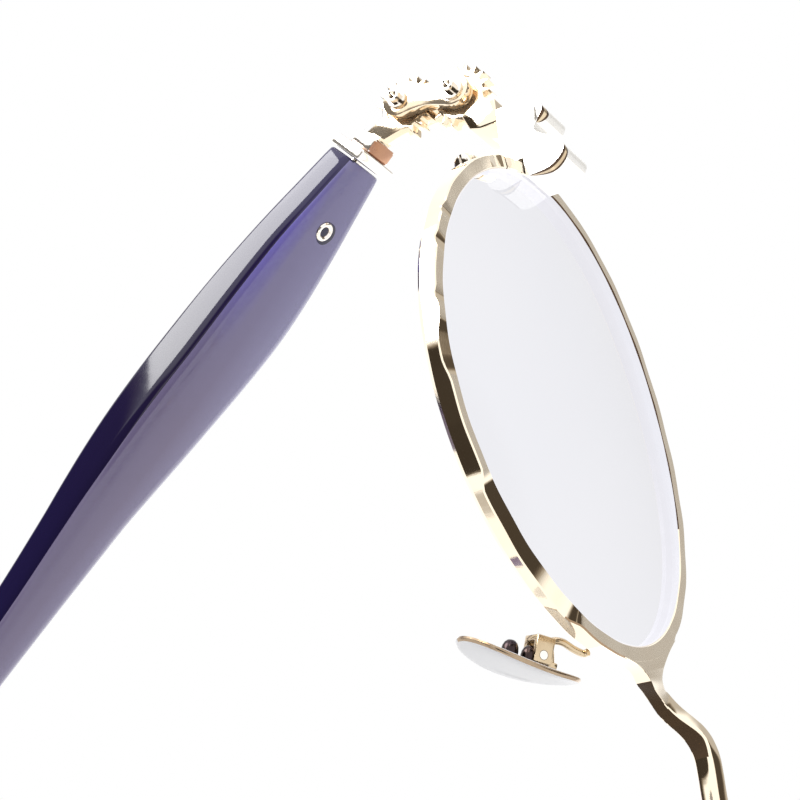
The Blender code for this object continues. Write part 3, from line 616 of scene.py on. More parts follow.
@dataclass(frozen=True)
class Acetate:
    """Polished acetate, whose colour changes along or up the piece and is slightly marbled.

    Attributes:
        name: Name of the material.
        tones: Colours at shares of the way.
        axis: Axis of the change: Y along the piece, from end to end, or Z up it.
        reach: Where a change up the piece starts and ends, in metres.
        marble: How much the marbling shifts the colours.
        streak: Colour of a streak low at the front, if it has one.
        cast: Colour that the front takes up.
        gloss: Roughness of the polish.
    """

    name: str
    tones: tuple[tuple[float, Tone], ...]
    axis: str = "Y"
    reach: tuple[float, float] = (0.0, 1.0)
    marble: float = 0.02
    streak: Tone | None = None
    cast: Tone = (0.2, 0.2, 0.4)
    gloss: tuple[float, float] = (0.05, 0.09)

    def fronted(self, nodes: Nodes, colour: Socket, height: Socket) -> Socket:
        """Cast a colour over the front end, with a streak low in it.

        Args:
            nodes: The material's nodes.
            colour: The colour without it.
            height: Share of the way up.

        Returns:
            The colour with both.
        """
        run = nodes.add("SeparateXYZ", nodes.add("TexCoord").outputs["Generated"]).outputs["Y"]
        near = nodes.fade(run, (0.0, 0.9), (0.08, 0.6), (0.22, 0.0))
        front = nodes.fade(run, (0.0, 1.0), (0.05, 0.85), (0.16, 0.0))
        low = nodes.fade(height, (0.10, 1.0), (0.32, 0.0))
        for factor, tone in ((near, self.cast), (nodes.maths("MULTIPLY", front, low), self.streak)):
            blend = nodes.add("Mix", factor, settings={"data_type": "RGBA"})
            nodes.tree.links.new(colour, blend.inputs[6])
            blend.inputs[7].default_value = (*tone, 1.0)
            colour = blend.outputs[2]
        return colour

    def material(self) -> bpy.types.Material:
        """Build the acetate's node material."""
        nodes = Nodes(bpy.data.materials.new(self.name))
        marble = nodes.grain(38.0, 3.0, (1, 0.35, 1))
        spread = nodes.span(marble, -self.marble, self.marble)
        place = nodes.add("TexCoord").outputs["Generated" if self.axis == "Y" else "Object"]
        way = nodes.add("SeparateXYZ", place).outputs[self.axis]
        low, high = self.reach
        share = nodes.add("MapRange", Value=way, From_Min=low, From_Max=high).outputs["Result"]
        colour = nodes.ramp(nodes.maths("ADD", share, spread), *self.tones)
        if self.streak:
            colour = self.fronted(nodes, colour, share)
        polish = nodes.grain(900.0, 2.0)
        bump = nodes.add("Bump", Height=polish, Strength=0.06, Distance=0.02 * MM)
        shader = nodes.add("BsdfPrincipled", Base_Color=colour, Roughness=nodes.span(polish, *self.gloss),
                           Normal=bump.outputs["Normal"])
        return nodes.finish(shader)


FINISHES = {
    "gold": Plating("polished_gold", (0.93, 0.815, 0.645), (0.90, 0.77, 0.59), (0.025, 0.07), FINE),
    "satin": Plating("satin_gold", (0.90, 0.82, 0.69), (0.88, 0.78, 0.64), (0.20, 0.32), COARSE),
    "hinge": Plating("hinge_gold", (0.93, 0.80, 0.62), (0.90, 0.72, 0.50), (0.04, 0.10), FINE, 0.86),
    # Near-white copy of the gold, a painted highlight: the endpieces, stem blocks and ferrules look blown
    # white in it.
    "bright": Plating("bright_gold", (0.985, 0.955, 0.90), (0.975, 0.93, 0.85), (0.05, 0.12), FINE, 0.85),
    # Near-white, barely metallic copy of the gold: painted highlight on the endpieces' front-facing faces.
    "crest": Plating("crest_gold", (0.99, 0.97, 0.93), (0.98, 0.95, 0.90), (0.25, 0.40), FINE, 0.10),
    # Dark brown copy of the gold: painted reflection on single flat faces of the stem blocks and ferrules.
    "rose": Plating("rose_gold", (0.42, 0.23, 0.14), (0.36, 0.18, 0.11), (0.15, 0.30)),
    # Darker copy of the gold: painted shade on the pad arms and boxes and in one row of the endpieces' shade
    # sheets.
    "worn": Plating("worn_gold", (0.66, 0.54, 0.37), (0.46, 0.34, 0.21), (0.12, 0.25)),
    # Dark copy of the gold: painted shade on the nose pads' edges and in the rivets' sunk middles.
    "worn_edge": Plating("worn_edge", (0.42, 0.32, 0.22), (0.28, 0.20, 0.13), (0.15, 0.30)),
    # Mid-dark copy of the gold: painted shade along part of the rims' outer front edge.
    "tarnish": Plating("tarnished_gold", (0.34, 0.23, 0.14), (0.22, 0.14, 0.08), (0.12, 0.25)),
    # Near-black copy of the gold: painted shade in the rims' inner front edge, at the foot of the bridge's
    # roots and in the endpieces' shade sheets.
    "burnt": Plating("burnt_gold", (0.085, 0.048, 0.025), (0.055, 0.034, 0.022), (0.15, 0.30)),
    # Dark matt brown: painted shade on the bridge's underside.
    "umber": Plating("umber_shade", (0.088, 0.054, 0.029), (0.062, 0.040, 0.024), (0.50, 0.65), metal=0.0,
                     shine=0.05),
    "steel": Plating("turned_steel", (0.88, 0.83, 0.76), (0.80, 0.74, 0.66), (0.04, 0.10), FINE),
    "pad": Plating("pad_metal", (0.70, 0.70, 0.71), (0.66, 0.66, 0.675), (0.30, 0.45), COARSE, 0.35),
    # Near-black metal: painted shade on the nose pads' studs.
    "dark": Plating("blued_metal", (0.030, 0.024, 0.034), (0.06, 0.04, 0.03), (0.15, 0.30)),
    "lens": ClearLens(),
    "ground": GroundEdge(),
    "deep_blue": Acetate("deep_blue_acetate", (
        (0.0, (0.020, 0.015, 0.070)), (0.10, (0.014, 0.009, 0.045)), (0.20, (0.011, 0.007, 0.032)),
        (0.35, (0.009, 0.006, 0.036)), (1.0, (0.011, 0.008, 0.055))), marble=0.008),
    "violet": Acetate("violet_acetate", (
        (0.0, (0.160, 0.132, 0.238)), (0.45, (0.180, 0.148, 0.255)), (0.72, (0.225, 0.200, 0.335)),
        (1.0, (0.320, 0.305, 0.480))), "Z", (-0.0215, -0.0120), 0.08, (0.150, 0.120, 0.560),
        (0.205, 0.190, 0.370)),
}


class Bench:
    """Holds the layout and the finishes, adds finished pieces to the scene and reports each one."""

    def __init__(self, layout: Layout) -> None:
        """Make every finish once, and start with no pieces.

        Args:
            layout: Where everything lies.
        """
        self.layout = layout
        self.finishes = {name: finish.material() for name, finish in FINISHES.items()}
        self.count = 0

    def painted(self, mesh: Mesh, choose: Callable[[Face], int], *names: str) -> Mesh:
        """Give each face of a mesh one of several finishes.

        Args:
            mesh: The mesh.
            choose: Tells which of them a face takes.
            *names: The finishes' short names.

        Returns:
            The same mesh.
        """
        chosen = [int(choose(polygon)) for polygon in mesh.polygons]
        mesh.materials.clear()
        for name in names:
            mesh.materials.append(self.finishes[name])
        for polygon, index in zip(mesh.polygons, chosen):
            polygon.material_index = index
        return mesh

    def add(self, name: str, mesh: Mesh, body: str, slot: Slot, replaces: tuple[str, ...],
            sharp: float) -> None:
        """Add one piece, whose faces have their finishes.

        Args:
            name: The piece's name.
            mesh: Its mesh, in the row frame.
            body: The body that it rides on.
            slot: The record's slot; not used.
            replaces: CAD nodes that it stands for.
            sharp: Edges sharper than this, in degrees, stay sharp.
        """
        mesh.shade_smooth()
        mesh.set_sharp_from_angle(angle=math.radians(sharp))
        obj = bpy.data.objects.new(name, mesh)
        bpy.context.scene.collection.objects.link(obj)
        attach(obj, body)
        if replaces:
            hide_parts(*replaces)
        self.count += 1
        LOG.info("%s: %d faces on %s", name, len(mesh.polygons), body)

    def add_pair(self, name: str, mesh: Mesh, body: str, slot: Slot, frame_of: Callable[[Side], Matrix],
                 finish: str = "", replaces: bool = True, sharp: float = 28.0) -> None:
        """Add a piece on both sides.

        Args:
            name: The piece's name, which is its CAD node's name before the side.
            mesh: The mesh, drawn for the left in its own frame.
            body: The body's name; {} is the side.
            slot: The record's slot.
            frame_of: Gives a side's frame.
            finish: Its finish's short name, unless its faces have finishes already.
            replaces: Whether it stands for the CAD node of that name.
            sharp: Edges sharper than this, in degrees, stay sharp.
        """
        if finish:
            self.painted(mesh, lambda face: 0, finish)
        for side in Side:
            node = f"{name}_{side.label}"
            placed = for_side(mesh, side, frame_of(side))
            nodes = (node,) if replaces else ()
            self.add(f"{node}_piece", placed, body.format(side.label), slot, nodes, sharp)


@dataclass(frozen=True)
class RimCurve:
    """The rounded shape that each rim and lens follows.

    Attributes:
        opening: Mean radius of the opening.
        lobe: How far the shape swells, as a share of the radius.
        lobe_angle: Where it swells.
        width: Width of the rim's front face.
        depth: Depth of the rim.
        facets: Facets filed round the outside.
        split_angle: Where the rim is split.
        split: Width of the split.
        foot_cut: Depth of the flat filed underneath.
    """

    opening: float = 23.0 * MM
    lobe: float = 0.0274
    lobe_angle: float = math.radians(16.6)
    width: float = 1.44 * MM
    depth: float = 2.0 * MM
    facets: int = 40
    split_angle: float = math.radians(-16)
    split: float = 0.3 * MM
    foot_cut: float = 0.12 * MM

    def radius(self, angle: float, offset: float = 0.0) -> float:
        """Radius of the opening at an angle from straight outward, plus an offset."""
        return self.opening * (1 + self.lobe * math.cos(3 * (angle - self.lobe_angle))) + offset

    def at(self, angle: float, offset: float) -> Vector:
        """Place (u, z) beyond the opening by an offset."""
        radius = self.radius(angle, offset)
        return Vector((radius * math.cos(angle), radius * math.sin(angle)))

    def corners(self) -> list[float]:
        """Angles of the corners between facets, from one side of the split to the other."""
        half = self.split / (2 * self.radius(self.split_angle, self.width))
        span = TAU - 2 * half
        return [self.split_angle + half + span * step / self.facets for step in range(self.facets + 1)]

    def foot(self) -> float:
        """Height of the flat filed under the rim."""
        return min(self.at(angle, self.width).y for angle in self.corners()) + self.foot_cut


@dataclass
class Rims:
    """Both split rims, with hand-filed facets outside and a lightly hammered front.

    Attributes:
        curve: The shape that they follow.
        groove: Depth of the lens groove.
        groove_half: Half the groove's width.
        chamfer: Width of the broken edges.
        back_chamfer: Width of the outer edge's chamfer behind.
        hammer: How much the front and the facets lean from place to place.
        bow: How far the filed facets follow the curve, from flat to round.
        cants: Angle and half width, in degrees, of the places where the front leans out, and the depth of
            each, in millimetres.
        root: Angles, in degrees, between which the bridge grows out of the front.
        root_dip: How far the front is hammered in there.
        root_chamfer: Width of the broken edge there.
        edge_shade: Angles, in degrees, between which the front's outer edge takes painted shade.
        lip_shade: Angles, in degrees, between which the front's inner edge takes dark painted shade.
        lip: How much wider the inner edge is broken there.
        lip_shift: How far before the middle of that span it is widest, in degrees.
        waves: Pace of the swing and of the fading of the facets' lean, and of the front's dips, in radians
            to a facet, and where the fading and the dips start.
        facing: How far forward the normals of the front, and of its edges, point at least.
        steps: Sections along each facet.
    """

    curve: RimCurve
    groove: float = 0.75 * MM
    groove_half: float = 0.55 * MM
    chamfer: float = 0.13 * MM
    back_chamfer: float = 0.42 * MM
    hammer: float = 0.05 * MM
    bow: float = 0.8
    cants: tuple[Place, ...] = (
        (213.0, 23.0, 0.62), (261.0, 7.5, 0.34), (272.5, 1.8, 0.30), (287.5, 2.8, 0.32), (298.0, 2.4, 0.30),
        (336.0, 1.3, 0.34), (341.0, 1.2, 0.34), (346.0, 1.3, 0.34), (351.0, 1.0, 0.30))
    root: tuple[float, float] = (138.0, 168.0)
    root_dip: float = 0.02 * MM
    root_chamfer: float = 0.004 * MM
    edge_shade: tuple[float, float] = (166.0, 196.0)
    lip_shade: tuple[float, float] = (2.0, 104.0)
    lip: float = 0.16 * MM
    lip_shift: float = 12.0
    waves: tuple[float, ...] = (2.4, 1.1, 3.7, 0.6, 0.4)
    facing: tuple[float, float] = (0.85, 0.3)
    steps: int = 6

    def cant(self, angle: float) -> float:
        """How far back the front face's outer edge lies.

        Args:
            angle: Angle round the rim.

        Returns:
            That depth.
        """
        depth = 0.0
        for middle, half, most in self.cants:
            away = abs((math.degrees(angle) - middle + 180) % 360 - 180)
            depth = max(depth, most * MM * eased((half - away) / min(half, 5.0)))
        return depth

    def section(self, angle: float, outer: Vector, lean: float, dip: float) -> list[Place]:
        """One section of the rim.

        Args:
            angle: Angle round the rim.
            outer: Place (u, z) of the outer wall.
            lean: How far the wall's front stands out beyond its back.
            dip: How far the front face is hammered in.

        Returns:
            The section's corners.
        """
        way = Vector((math.cos(angle), math.sin(angle)))
        degrees = math.degrees(angle) % 360
        joined = self.root[0] < degrees < self.root[1]
        dip = self.root_dip if joined else dip
        chamfer = self.root_chamfer if joined else self.chamfer
        middle_shade = sum(self.lip_shade) / 2 - self.lip_shift
        lip_share = max(0.0, 1 - abs(degrees - middle_shade) / (middle_shade - self.lip_shade[0]))
        lip_width = self.chamfer + self.lip * min(1.0, 2 * lip_share)
        inner, bottom = self.curve.at(angle, 0.0), self.curve.at(angle, self.groove)
        foot, depth = self.curve.foot(), self.curve.depth
        ahead, behind = depth / 2 - self.groove_half, depth / 2 + self.groove_half
        front, back = outer + way * lean, outer - way * lean
        cant = dip + self.cant(angle)
        rows = ((inner, lip_width + dip), (inner + way * lip_width, dip), (front - way * chamfer, cant),
                (front, chamfer + cant), (back, depth - self.back_chamfer),
                (back - way * self.back_chamfer, depth), (inner + way * self.chamfer, depth),
                (inner, depth - self.chamfer), (inner, behind), (bottom, depth / 2), (inner, ahead))
        return [(place.x, y, max(place.y, foot)) for place, y in rows]

    def mesh(self) -> Mesh:
        """The left rim in its eye's frame."""
        corners = self.curve.corners()
        swing, fade, dips, fade_start, dip_start = self.waves
        rings = []
        for index, (before, after) in enumerate(zip(corners, corners[1:])):
            start = self.curve.at(before, self.curve.width)
            end = self.curve.at(after, self.curve.width)
            last = index == len(corners) - 2
            for step in range(self.steps + last):
                share = step / self.steps
                angle = before + (after - before) * share
                outer = start.lerp(end, share).lerp(self.curve.at(angle, self.curve.width), self.bow)
                wave = index + share
                lean = self.hammer * math.sin(swing * wave) * math.cos(fade * wave + fade_start)
                dip = self.hammer * 0.5 * (1 + math.sin(dips * wave + dip_start))
                rings.append(self.section(angle, outer, lean, dip))
        return loft(rings)

    def finish_of(self, face: Face) -> int:
        """Tell a face's finish.

        Args:
            face: A face of the left rim.

        Returns:
            0 for satin, 1 for polished, 2 for the outer edge's painted shade, 3 for the inner edge's darker
            painted shade.
        """
        degrees = math.degrees(math.atan2(face.center.z, face.center.x)) % 360
        angle = math.radians(degrees)
        outside = math.hypot(face.center.x, face.center.z) > self.curve.radius(angle, 0.9 * self.curve.width)
        flat, slope = self.facing
        if -face.normal.y > flat and self.cant(angle) < 0.1 * MM:
            return 0
        if not slope < -face.normal.y < flat:
            return 1
        # Painted shade on the outer and the inner front edge, within their spans of angles.
        if outside:
            return 2 if self.edge_shade[0] < degrees < self.edge_shade[1] else 1
        return 3 if self.lip_shade[0] < degrees < self.lip_shade[1] else 1

    def build(self, bench: Bench) -> None:
        """Add both rims, satin in front and polished elsewhere, with painted shade on parts of their edges.
        """
        mesh = bench.painted(self.mesh(), self.finish_of, "satin", "gold", "tarnish", "burnt")
        bench.add_pair("rim", mesh, "front", Slot.SATIN_GOLD, bench.layout.eye_frame, sharp=14.0)


@dataclass
class Lenses:
    """Both lenses: shallow shells whose ridged edges sit in the rims' grooves.

    Attributes:
        curve: The shape that they follow.
        edge: Thickness at the edge.
        bulge: How far the middle stands forward.
        setback: Gap inside the rim.
        ridge: How far the edge reaches into the groove.
        ridge_half: Half the ridge's width.
        rings: Rings from the middle to the edge.
        segments: Segments round the edge.
    """

    curve: RimCurve
    edge: float = 1.86 * MM
    bulge: float = 1.4 * MM
    setback: float = 0.03 * MM
    ridge: float = 0.3 * MM
    ridge_half: float = 0.5 * MM
    rings: int = 8
    segments: int = 120

    def ring(self, bm: bmesh.types.BMesh, share: float, reach: float, back: float) -> list:
        """Add one ring of corners.

        Args:
            bm: The bmesh that it is added to.
            share: Share of the way from the middle to the edge.
            reach: How far beyond the rim's opening the edge lies.
            back: How far back the ring lies.

        Returns:
            Its corners, as the bmesh's vertices.
        """
        angles = [TAU * step / self.segments for step in range(self.segments)]
        places = [self.curve.at(angle, reach) * share for angle in angles]
        return [bm.verts.new((place.x, back, place.y)) for place in places]

    def mesh(self) -> Mesh:
        """The left lens in its eye's frame."""
        bm = bmesh.new()
        middle, edge = self.curve.depth / 2, -self.setback
        front, rear = middle - self.edge / 2, middle + self.edge / 2
        domes = [((step + 1) / self.rings, self.bulge * (1 - ((step + 1) / self.rings) ** 2))
                 for step in range(self.rings)]
        rows = [self.ring(bm, share, edge, front - dome) for share, dome in domes]
        for reach, back in ((edge, -self.ridge_half), (self.ridge, 0.0), (edge, self.ridge_half)):
            rows.append(self.ring(bm, 1.0, reach, middle + back))
        rows += [self.ring(bm, share, edge, rear - dome) for share, dome in reversed(domes)]
        for near, far in zip(rows, rows[1:]):
            for i in range(self.segments):
                j = (i + 1) % self.segments
                bm.faces.new((near[i], near[j], far[j], far[i]))
        for row, level in ((rows[0], front), (rows[-1], rear)):
            hub = bm.verts.new((0.0, level - self.bulge, 0.0))
            for i in range(self.segments):
                bm.faces.new((row[i], row[(i + 1) % self.segments], hub))
        return finished(bm)

    def build(self, bench: Bench) -> None:
        """Add both lenses, with ground edges that glow as painted light."""
        mesh = bench.painted(self.mesh(), lambda face: abs(face.normal.y) < 0.9, "lens", "ground")
        bench.add_pair("lens", mesh, "front", Slot.LENS, bench.layout.eye_frame)


@dataclass
class Bridge:
    """The bridge: a square bar that springs up and back from the rims, then arches forward to a flat middle.

    Attributes:
        path: Middle line of half the bar, in millimetres inward, back and up from the lens centre.
        thin: How much thinner the bar is near its roots.
        height: Height of the bar.
        depth: Depth of the bar.
        round: Radius of its edges.
        soft: Radius of its lower front edge.
        roots: Sections of its root, in millimetres: upper, lower and rear lower corner, inward and up, then
            the depths of the front and of the rear corner.
        root_round: Radius of the root's edges.
        lean: How far its front leans under in the middle.
        thin_run: Where inward the bar starts to thicken, and over what length, in millimetres.
        round_run: The same for its edges, which start to soften.
        lean_run: The same for its front, which starts to lean.
        satin: How far inward, back and up the root's satin front reaches, in millimetres.
        burnt: The same for the slope at its foot, which takes dark painted shade.
        umber: How far inward the painted shade on the underside reaches, its lowest height and how far
        inward it takes in the root's inner side, in millimetres.
    """

    path: tuple[Place, ...] = (
        (25.31, 0.75, 13.32), (25.97, 0.62, 14.06), (26.62, 0.35, 14.73), (27.31, -0.08, 15.31),
        (28.02, -0.48, 15.84), (28.86, -0.84, 16.25), (29.79, -1.10, 16.53), (30.81, -1.26, 16.68),
        (32.20, -1.26, 16.82), (34.00, -1.22, 16.88))
    thin: float = 0.80 * MM
    height: float = 1.9 * MM
    depth: float = 2.0 * MM
    round: float = 0.26 * MM
    soft: float = 0.50 * MM
    roots: tuple[tuple[float, ...], ...] = (
        (18.72, 16.89, 23.93, 4.00, 23.48, 4.10, 0.030, 1.90),
        (20.18, 15.22, 23.90, 5.88, 23.39, 6.20, 0.025, 1.90),
        (21.55, 13.83, 23.99, 7.33, 23.40, 8.10, 0.025, 1.90),
        (22.83, 12.72, 24.30, 8.30, 23.60, 9.40, 0.030, 1.95),
        (23.95, 12.17, 24.81, 9.26, 24.24, 10.46, 0.060, 2.05),
        (24.62, 12.99, 25.36, 10.55, 24.51, 11.76, 0.300, 2.20))
    root_round: float = 0.16 * MM
    lean: float = 0.34 * MM
    thin_run: tuple[float, float] = (24.8, 3.6)
    round_run: tuple[float, float] = (24.6, 2.4)
    lean_run: tuple[float, float] = (28.6, 2.4)
    satin: Place = (25.6, 0.8, 13.6)
    burnt: Place = (25.5, 0.3, 10.2)
    umber: Place = (30.9, 9.22, 26.6)

    def controls(self) -> list[list[Vector]]:
        """Corners of half the bridge where its shape is set, clockwise from the upper front one."""
        rows = []
        for high_in, high, low_in, low, rear_in, rear, front, back in self.roots:
            corners = ((high_in, front, high), (low_in, front, low), (rear_in, back, rear),
                       (high_in, back, high))
            rows.append([Vector(corner) * MM for corner in corners])
        path = [Vector(place) * MM for place in self.path]
        for index, place in enumerate(path):
            along = path[min(index + 1, len(path) - 1)] - path[max(index - 1, 0)]
            across = Vector((-along.z, 0, along.x)).normalized() * self.height / 2
            thin, lean = ((place.x / MM - start) / length for start, length in (self.thin_run, self.lean_run))
            front = Vector((0, self.thin * clamped(1 - thin) - self.depth / 2, 0))
            under = Vector((0, self.lean * eased(lean), 0))
            rear = Vector((0, self.depth / 2, 0))
            rows.append([place + across + front, place - across + front + under, place - across + rear,
                         place + across + rear])
        return rows

    def ring(self, corners: list[Vector], steps: int = 5) -> list[Vector]:
        """A section of the bridge with rounded corners.

        Args:
            corners: Its four corners, clockwise from the upper front one.
            steps: Steps round each corner.

        Returns:
            Its points.
        """
        start, length = self.round_run
        share = clamped((corners[0].x / MM - start) / length)
        ring = []
        for index, corner in enumerate(corners):
            full = self.soft if index == 1 else self.round
            reach = self.root_round + (full - self.root_round) * share
            before, after = (corners[other % 4] - corner for other in (index - 1, index + 1))
            first, last = (edge.normalized() * min(reach, 0.45 * edge.length) for edge in (before, after))
            for step in range(steps + 1):
                turn = math.pi / 2 * step / steps
                ring.append(corner + first * (1 - math.sin(turn)) + last * (1 - math.cos(turn)))
        return ring

    def mesh(self, eye: Place) -> Mesh:
        """The bridge in the row frame.

        Args:
            eye: The left lens centre.

        Returns:
            The bar's mesh with both roots.
        """
        tracks = [smooth_line(list(track), 5) for track in zip(*self.controls())]
        halves = [self.ring(list(corners)) for corners in zip(*tracks)][:-1]
        right = [[(c.x - eye[0], c.y, c.z) for c in ring] for ring in halves]
        left = [[(-x, y, z) for x, y, z in ring] for ring in reversed(right)]
        mesh = loft(right + left)
        mesh.transform(Matrix.Translation((0, eye[1], eye[2])))
        return mesh

    def finish_of(self, face: Face, eye: Place) -> int:
        """Tell a face's finish: the roots have a satin front, and painted shade at their foot and under the
        bar.

        Args:
            face: A face of the bridge.
            eye: The left lens centre.

        Returns:
            0 for polished, 1 for satin, 2 for the painted shade at the foot, 3 for the painted shade
            underneath.
        """
        place, normal = face.center, face.normal
        inward, back, up = (away / MM for away in (eye[0] - abs(place.x), place.y - eye[1], place.z - eye[2]))
        # The root's satin front, then the painted shade on the slope at its foot.
        for index, limits, facing in ((1, self.satin, 0.80), (2, self.burnt, 0.3)):
            if inward < limits[0] and back < limits[1] and up < limits[2] and -normal.y > facing:
                return index
        # Painted shade: the underside and the root's inner side take a dark matt brown.
        reach, low, inner = self.umber
        under = normal.z < -0.5 or (inward < inner and normal.x * place.x < 0.0)
        return 3 if under and inward < reach and up - 0.6 * back > low and -0.45 < normal.y < 0.7 else 0

    def build(self, bench: Bench) -> None:
        """Add the bridge.

        Args:
            bench: The bench.
        """
        eye = bench.layout.eye
        mesh = self.mesh(eye)
        bench.painted(mesh, lambda face: self.finish_of(face, eye), "gold", "satin", "burnt", "umber")
        bench.add("bridge_piece", mesh, "front", Slot.GOLD, ("bridge",), 16.0)


@dataclass
class Endpieces:
    """The wave-fronted endpieces and the brackets behind them.

    Attributes:
        curve: The rims' shape.
        low: Depth below the lens centre.
        high: Height above it.
        length: How far each reaches beyond the rim.
        back: How far back its rear face lies.
        wave: How far its crest stands forward.
        gap: Gap to the rim.
        pivot: Place (u, y) of the frame pin.
        neck_angle: Direction from the frame pin to the bracket.
        neck_reach: Length of the frame gear's neck.
        neck_half: Half the bracket's width there.
        edge: Width of the broken edges.
        shades: Start and end of each thin sheet of painted shade along the lower edge, as shares of the
        outline, and its height.
        hollow: Heights of a shade sheet's rows, as shares of its own height.
    """

    curve: RimCurve
    low: float = 2.6 * MM
    high: float = 2.4 * MM
    length: float = 6.2 * MM
    back: float = 2.05 * MM
    wave: float = 4.3 * MM
    gap: float = 0.12 * MM
    pivot: tuple[float, float] = (35.65 * MM, 6.5 * MM)
    neck_angle: float = math.radians(211.5)
    neck_reach: float = 3.5 * MM
    neck_half: float = 1.3 * MM
    edge: float = 0.22 * MM
    shades: tuple[Place, ...] = ((0.02, 0.36, 1.0 * MM), (0.66, 0.86, 1.25 * MM))
    hollow: tuple[float, ...] = (-0.25, 0.0, 0.22, 0.7, 1.0)

    def wave_outline(self) -> Plan:
        """Outline of the endpiece from above, with its two crests and the trough between them."""
        inner = self.curve.radius(0.0, self.curve.width + self.gap)
        lip = inner - self.curve.width - 0.6 * MM
        reach = inner + self.length
        shares = ((-0.1, 1.0), (0.12, 0.88), (0.33, 0.47), (0.48, 0.38), (0.72, 0.64), (0.9, 0.5), (1.0, 0.1))
        points = [(lip, -self.gap, 0.0), (lip + 0.1 * MM, -0.62 * self.wave, 0.0)]
        points += [(inner + share * self.length, -height * self.wave, 0.0) for share, height in shares]
        front = [(p.x, p.y) for p in smooth_line(points, 8)]
        return [(inner, self.back), (inner, -self.gap)] + front + [(reach, self.back)]

    def shade_mesh(self) -> Mesh:
        """Thin dark sheets of painted shade, pointed at both ends, along the wave's lower edge, in the left
        eye's frame.
        """
        front = self.wave_outline()[2:-1]
        bm = bmesh.new()
        for start, end, height in self.shades:
            first, last = (round(share * (len(front) - 1)) for share in (start, end))
            rows = []
            for index in range(first, last + 1):
                share = (index - first) / (last - first)
                swell = height * math.sin(math.pi * share ** 0.8)
                x, y = front[index]
                before, after = front[max(index - 1, 0)], front[min(index + 1, len(front) - 1)]
                out = Vector((after[1] - before[1], before[0] - after[0])).normalized() * 0.02 * MM
                rows.append([bm.verts.new((x + out.x, y + out.y, -self.low + self.edge + swell * part))
                             for part in self.hollow])
            for near, far in zip(rows, rows[1:]):
                for j in range(len(self.hollow) - 1):
                    face = bm.faces.new((near[j], far[j], far[j + 1], near[j + 1]))
                    face.material_index = int(j == 2)
        return finished(bm)

    def bracket_outline(self) -> Plan:
        """Outline of the bracket from above."""
        reach = self.curve.radius(0.0, self.curve.width + self.gap) + self.length
        along = Vector((math.cos(self.neck_angle), math.sin(self.neck_angle)))
        across = Vector((-along.y, along.x)) * self.neck_half
        face = Vector(self.pivot) + along * self.neck_reach
        front = self.back - 0.02 * MM
        outer, inner = face + across, face - across
        start = reach - 1.35 * MM
        rise = inner.y - front
        return [(start, front), (reach + 1.5 * MM, front), tuple(outer), tuple(inner),
                (start + 0.35 * MM, front + 0.8 * rise), (start, front + 0.5 * rise)]

    def build(self, bench: Bench) -> None:
        """Add the endpieces with their painted highlight, their sheets of painted shade, and the brackets.

        Args:
            bench: The bench.
        """
        eyes = bench.layout.eye_frame
        wave = bevelled(plate([self.wave_outline()], -self.low, self.high), self.edge, 3, 40.0)
        # Painted highlight: the wave takes the near-white copy of the gold, and its front-facing faces the
        # still paler, matt one.
        bench.painted(wave, lambda face: face.normal.y < -0.75, "bright", "crest")
        bench.add_pair("endpiece", wave, "front", Slot.GOLD, eyes, sharp=50.0)
        # Painted shade: dark sheets laid on the wave's lower edge, one row of them a less dark copy of the
        # gold.
        shade = bench.painted(self.shade_mesh(), lambda face: face.material_index, "burnt", "worn")
        bench.add_pair("endpiece_shade", shade, "front", Slot.GOLD, eyes, replaces=False, sharp=50.0)
        bracket = bevelled(plate([self.bracket_outline()], -self.low, self.high), self.edge, 3, 25.0)
        bench.add_pair("hinge_bracket", bracket, "front", Slot.GOLD, eyes, "gold", sharp=50.0)


